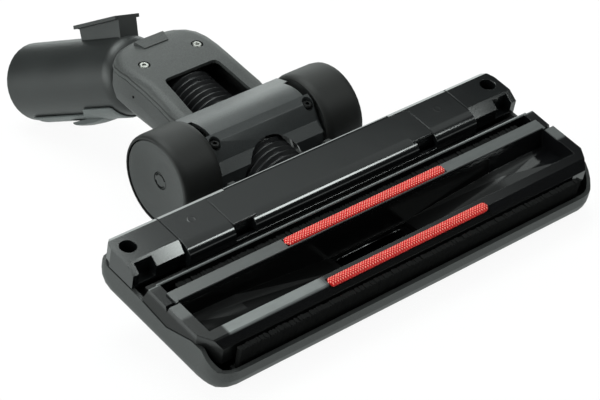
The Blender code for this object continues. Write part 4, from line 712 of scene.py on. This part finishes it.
# %% [markdown]
# ## The studio floor
# The brush is photographed on a white sweep. The floor is a thin veil over the white world: it
# keeps a faint shadow of the brush, and lets the wand tube show when the neck swings it down past
# the floor. For every other ray it is a solid white sheet that throws light up at the brush. All
# that varies is the factor of a Mix Shader, which follows the kind of the ray.

# %% Floor
VEIL = 0.93


def white_floor():
    bm = bmesh.new()
    bmesh.ops.create_grid(bm, x_segments=1, y_segments=1, size=6.0)
    finish = Finish("studio_white", 0.9, specular=0.1)
    finish.colour((0.86, 0.86, 0.86, 1.0))
    camera_ray, glossy_ray, transmission_ray = finish.rays()
    seen = finish.work("MINIMUM", camera_ray + glossy_ray + transmission_ray, 1.0)
    finish.mix_in(finish.node("ShaderNodeBsdfTransparent"), seen * VEIL)
    floor = object_from(bm, "studio_floor", finish.material)
    return floor


floor = white_floor()
print("floor:", floor.dimensions.x, "m wide")

# %% [markdown]
# ## The room that the gloss mirrors
# A black object on white is drawn by what it mirrors. So the room that it mirrors has a white
# floor, dark walls and a bright ceiling: tops shine softly, faces that look to the side go dark,
# and rounded edges catch thin bright lines. The world is plain white where the camera looks, and
# through anything clear. For gloss and metal it is white at the horizon and below it, and the
# room above that. The greys of the brush are a little cool, and so are the room and the lamps.

# %% World
COOL = (0.93, 1.0, 0.975)
WHITE = (1.0, 1.0, 1.0)
CEILING = (0.722, 0.760)
HORIZON = (0.02, 0.12)

world = bpy.data.worlds.new("studio_world")
bpy.context.scene.world = world
world.use_nodes = True
studio = Shading(world.node_tree)
direction = studio.node("ShaderNodeTexCoord").outputs["Generated"]
parts = studio.node("ShaderNodeSeparateXYZ", {}, {"Vector": direction})
height = Varying(studio, parts.outputs["Z"])
camera_ray, glossy_ray, transmission_ray = studio.rays()
near_floor = 1.0 - studio.between(height, *HORIZON)
room = studio.between(height, *CEILING) * 0.72 + near_floor * 0.85 + 0.03
backdrop = camera_ray + transmission_ray + glossy_ray * near_floor
background = world.node_tree.nodes["Background"]
studio.feed(background.inputs["Strength"], studio.work("MAXIMUM", backdrop, room))
tint = studio.ramp(camera_ray, [(0.0, (*COOL, 1.0)), (1.0, (*WHITE, 1.0))])
studio.feed(background.inputs["Color"], tint)
print("world:", len(world.node_tree.nodes), "nodes")

# %% [markdown]
# ## Lamps
# Four soft panels light the brush, all turned to the middle of it. One hangs under the ceiling, one
# stands low at the left, and one low behind at the right, whose light skims over the dull tops. A
# small one at the right gives the slanted faces of the bar their shine.

# %% Panels of light
def panel(name, place, size, power):
    """A soft rectangular lamp that looks at the middle of the brush. Places are in metres."""
    lamp = bpy.data.lights.new(name, "AREA")
    lamp.shape = "RECTANGLE"
    lamp.size, lamp.size_y = size
    lamp.energy = power
    lamp.color = COOL
    holder = bpy.data.objects.new(name, lamp)
    holder.location = place
    holder.rotation_euler = (-Vector(place)).to_track_quat("-Z", "Y").to_euler()
    bpy.context.scene.collection.objects.link(holder)
    return holder


panels = [
    panel("top_panel", (0.10, 0.35, 1.25), (0.8, 0.6), 12.0),
    panel("left_panel", (-1.2, 0.1, 0.42), (1.5, 0.8), 17.0),
    panel("rear_panel", (0.92, 1.02, 0.50), (1.1, 0.7), 7.6),
    panel("right_panel", (0.77, -0.86, 0.95), (0.28, 0.28), 4.0),
]
print("panels:", [(holder.name, round(holder.data.energy, 1)) for holder in panels])

# %% [markdown]
# ## The camera
# The camera stands where the photographer stood: in front and to the left, looking down at about
# thirty degrees, from a little over a metre. Its place was found in the head's frame from the
# straight edges of the sole, so it is written in that frame and carried into the world with it.

# %% The camera
EYE = Vector((-690.8, -551.2, 830.9))
RIGHT = Vector((0.755, -0.640, 0.141))
BACK = Vector((-0.556, -0.511, 0.655))
SENSOR = 36.0
PHOTO_WIDTH_PIXELS = 600
FOCAL_PIXELS = 2282.255

lens = bpy.data.cameras.new("photo_camera")
lens.sensor_width = SENSOR
lens.lens = SENSOR * FOCAL_PIXELS / PHOTO_WIDTH_PIXELS
lens.clip_start = 0.05
camera = bpy.data.objects.new("photo_camera", lens)
bpy.context.scene.collection.objects.link(camera)
back = BACK.normalized()
right = (RIGHT - RIGHT.dot(back) * back).normalized()
up = back.cross(right)
pose = Matrix((right, up, back)).transposed().to_4x4()
pose.translation = EYE
pose = to_world @ pose
eye = pose.to_translation()
camera.matrix_world = Matrix.Translation(eye) @ pose.to_quaternion().to_matrix().to_4x4()
bpy.context.scene.camera = camera
bpy.context.scene.view_settings.view_transform = "Standard"
print("camera at", [round(x, 3) for x in eye])
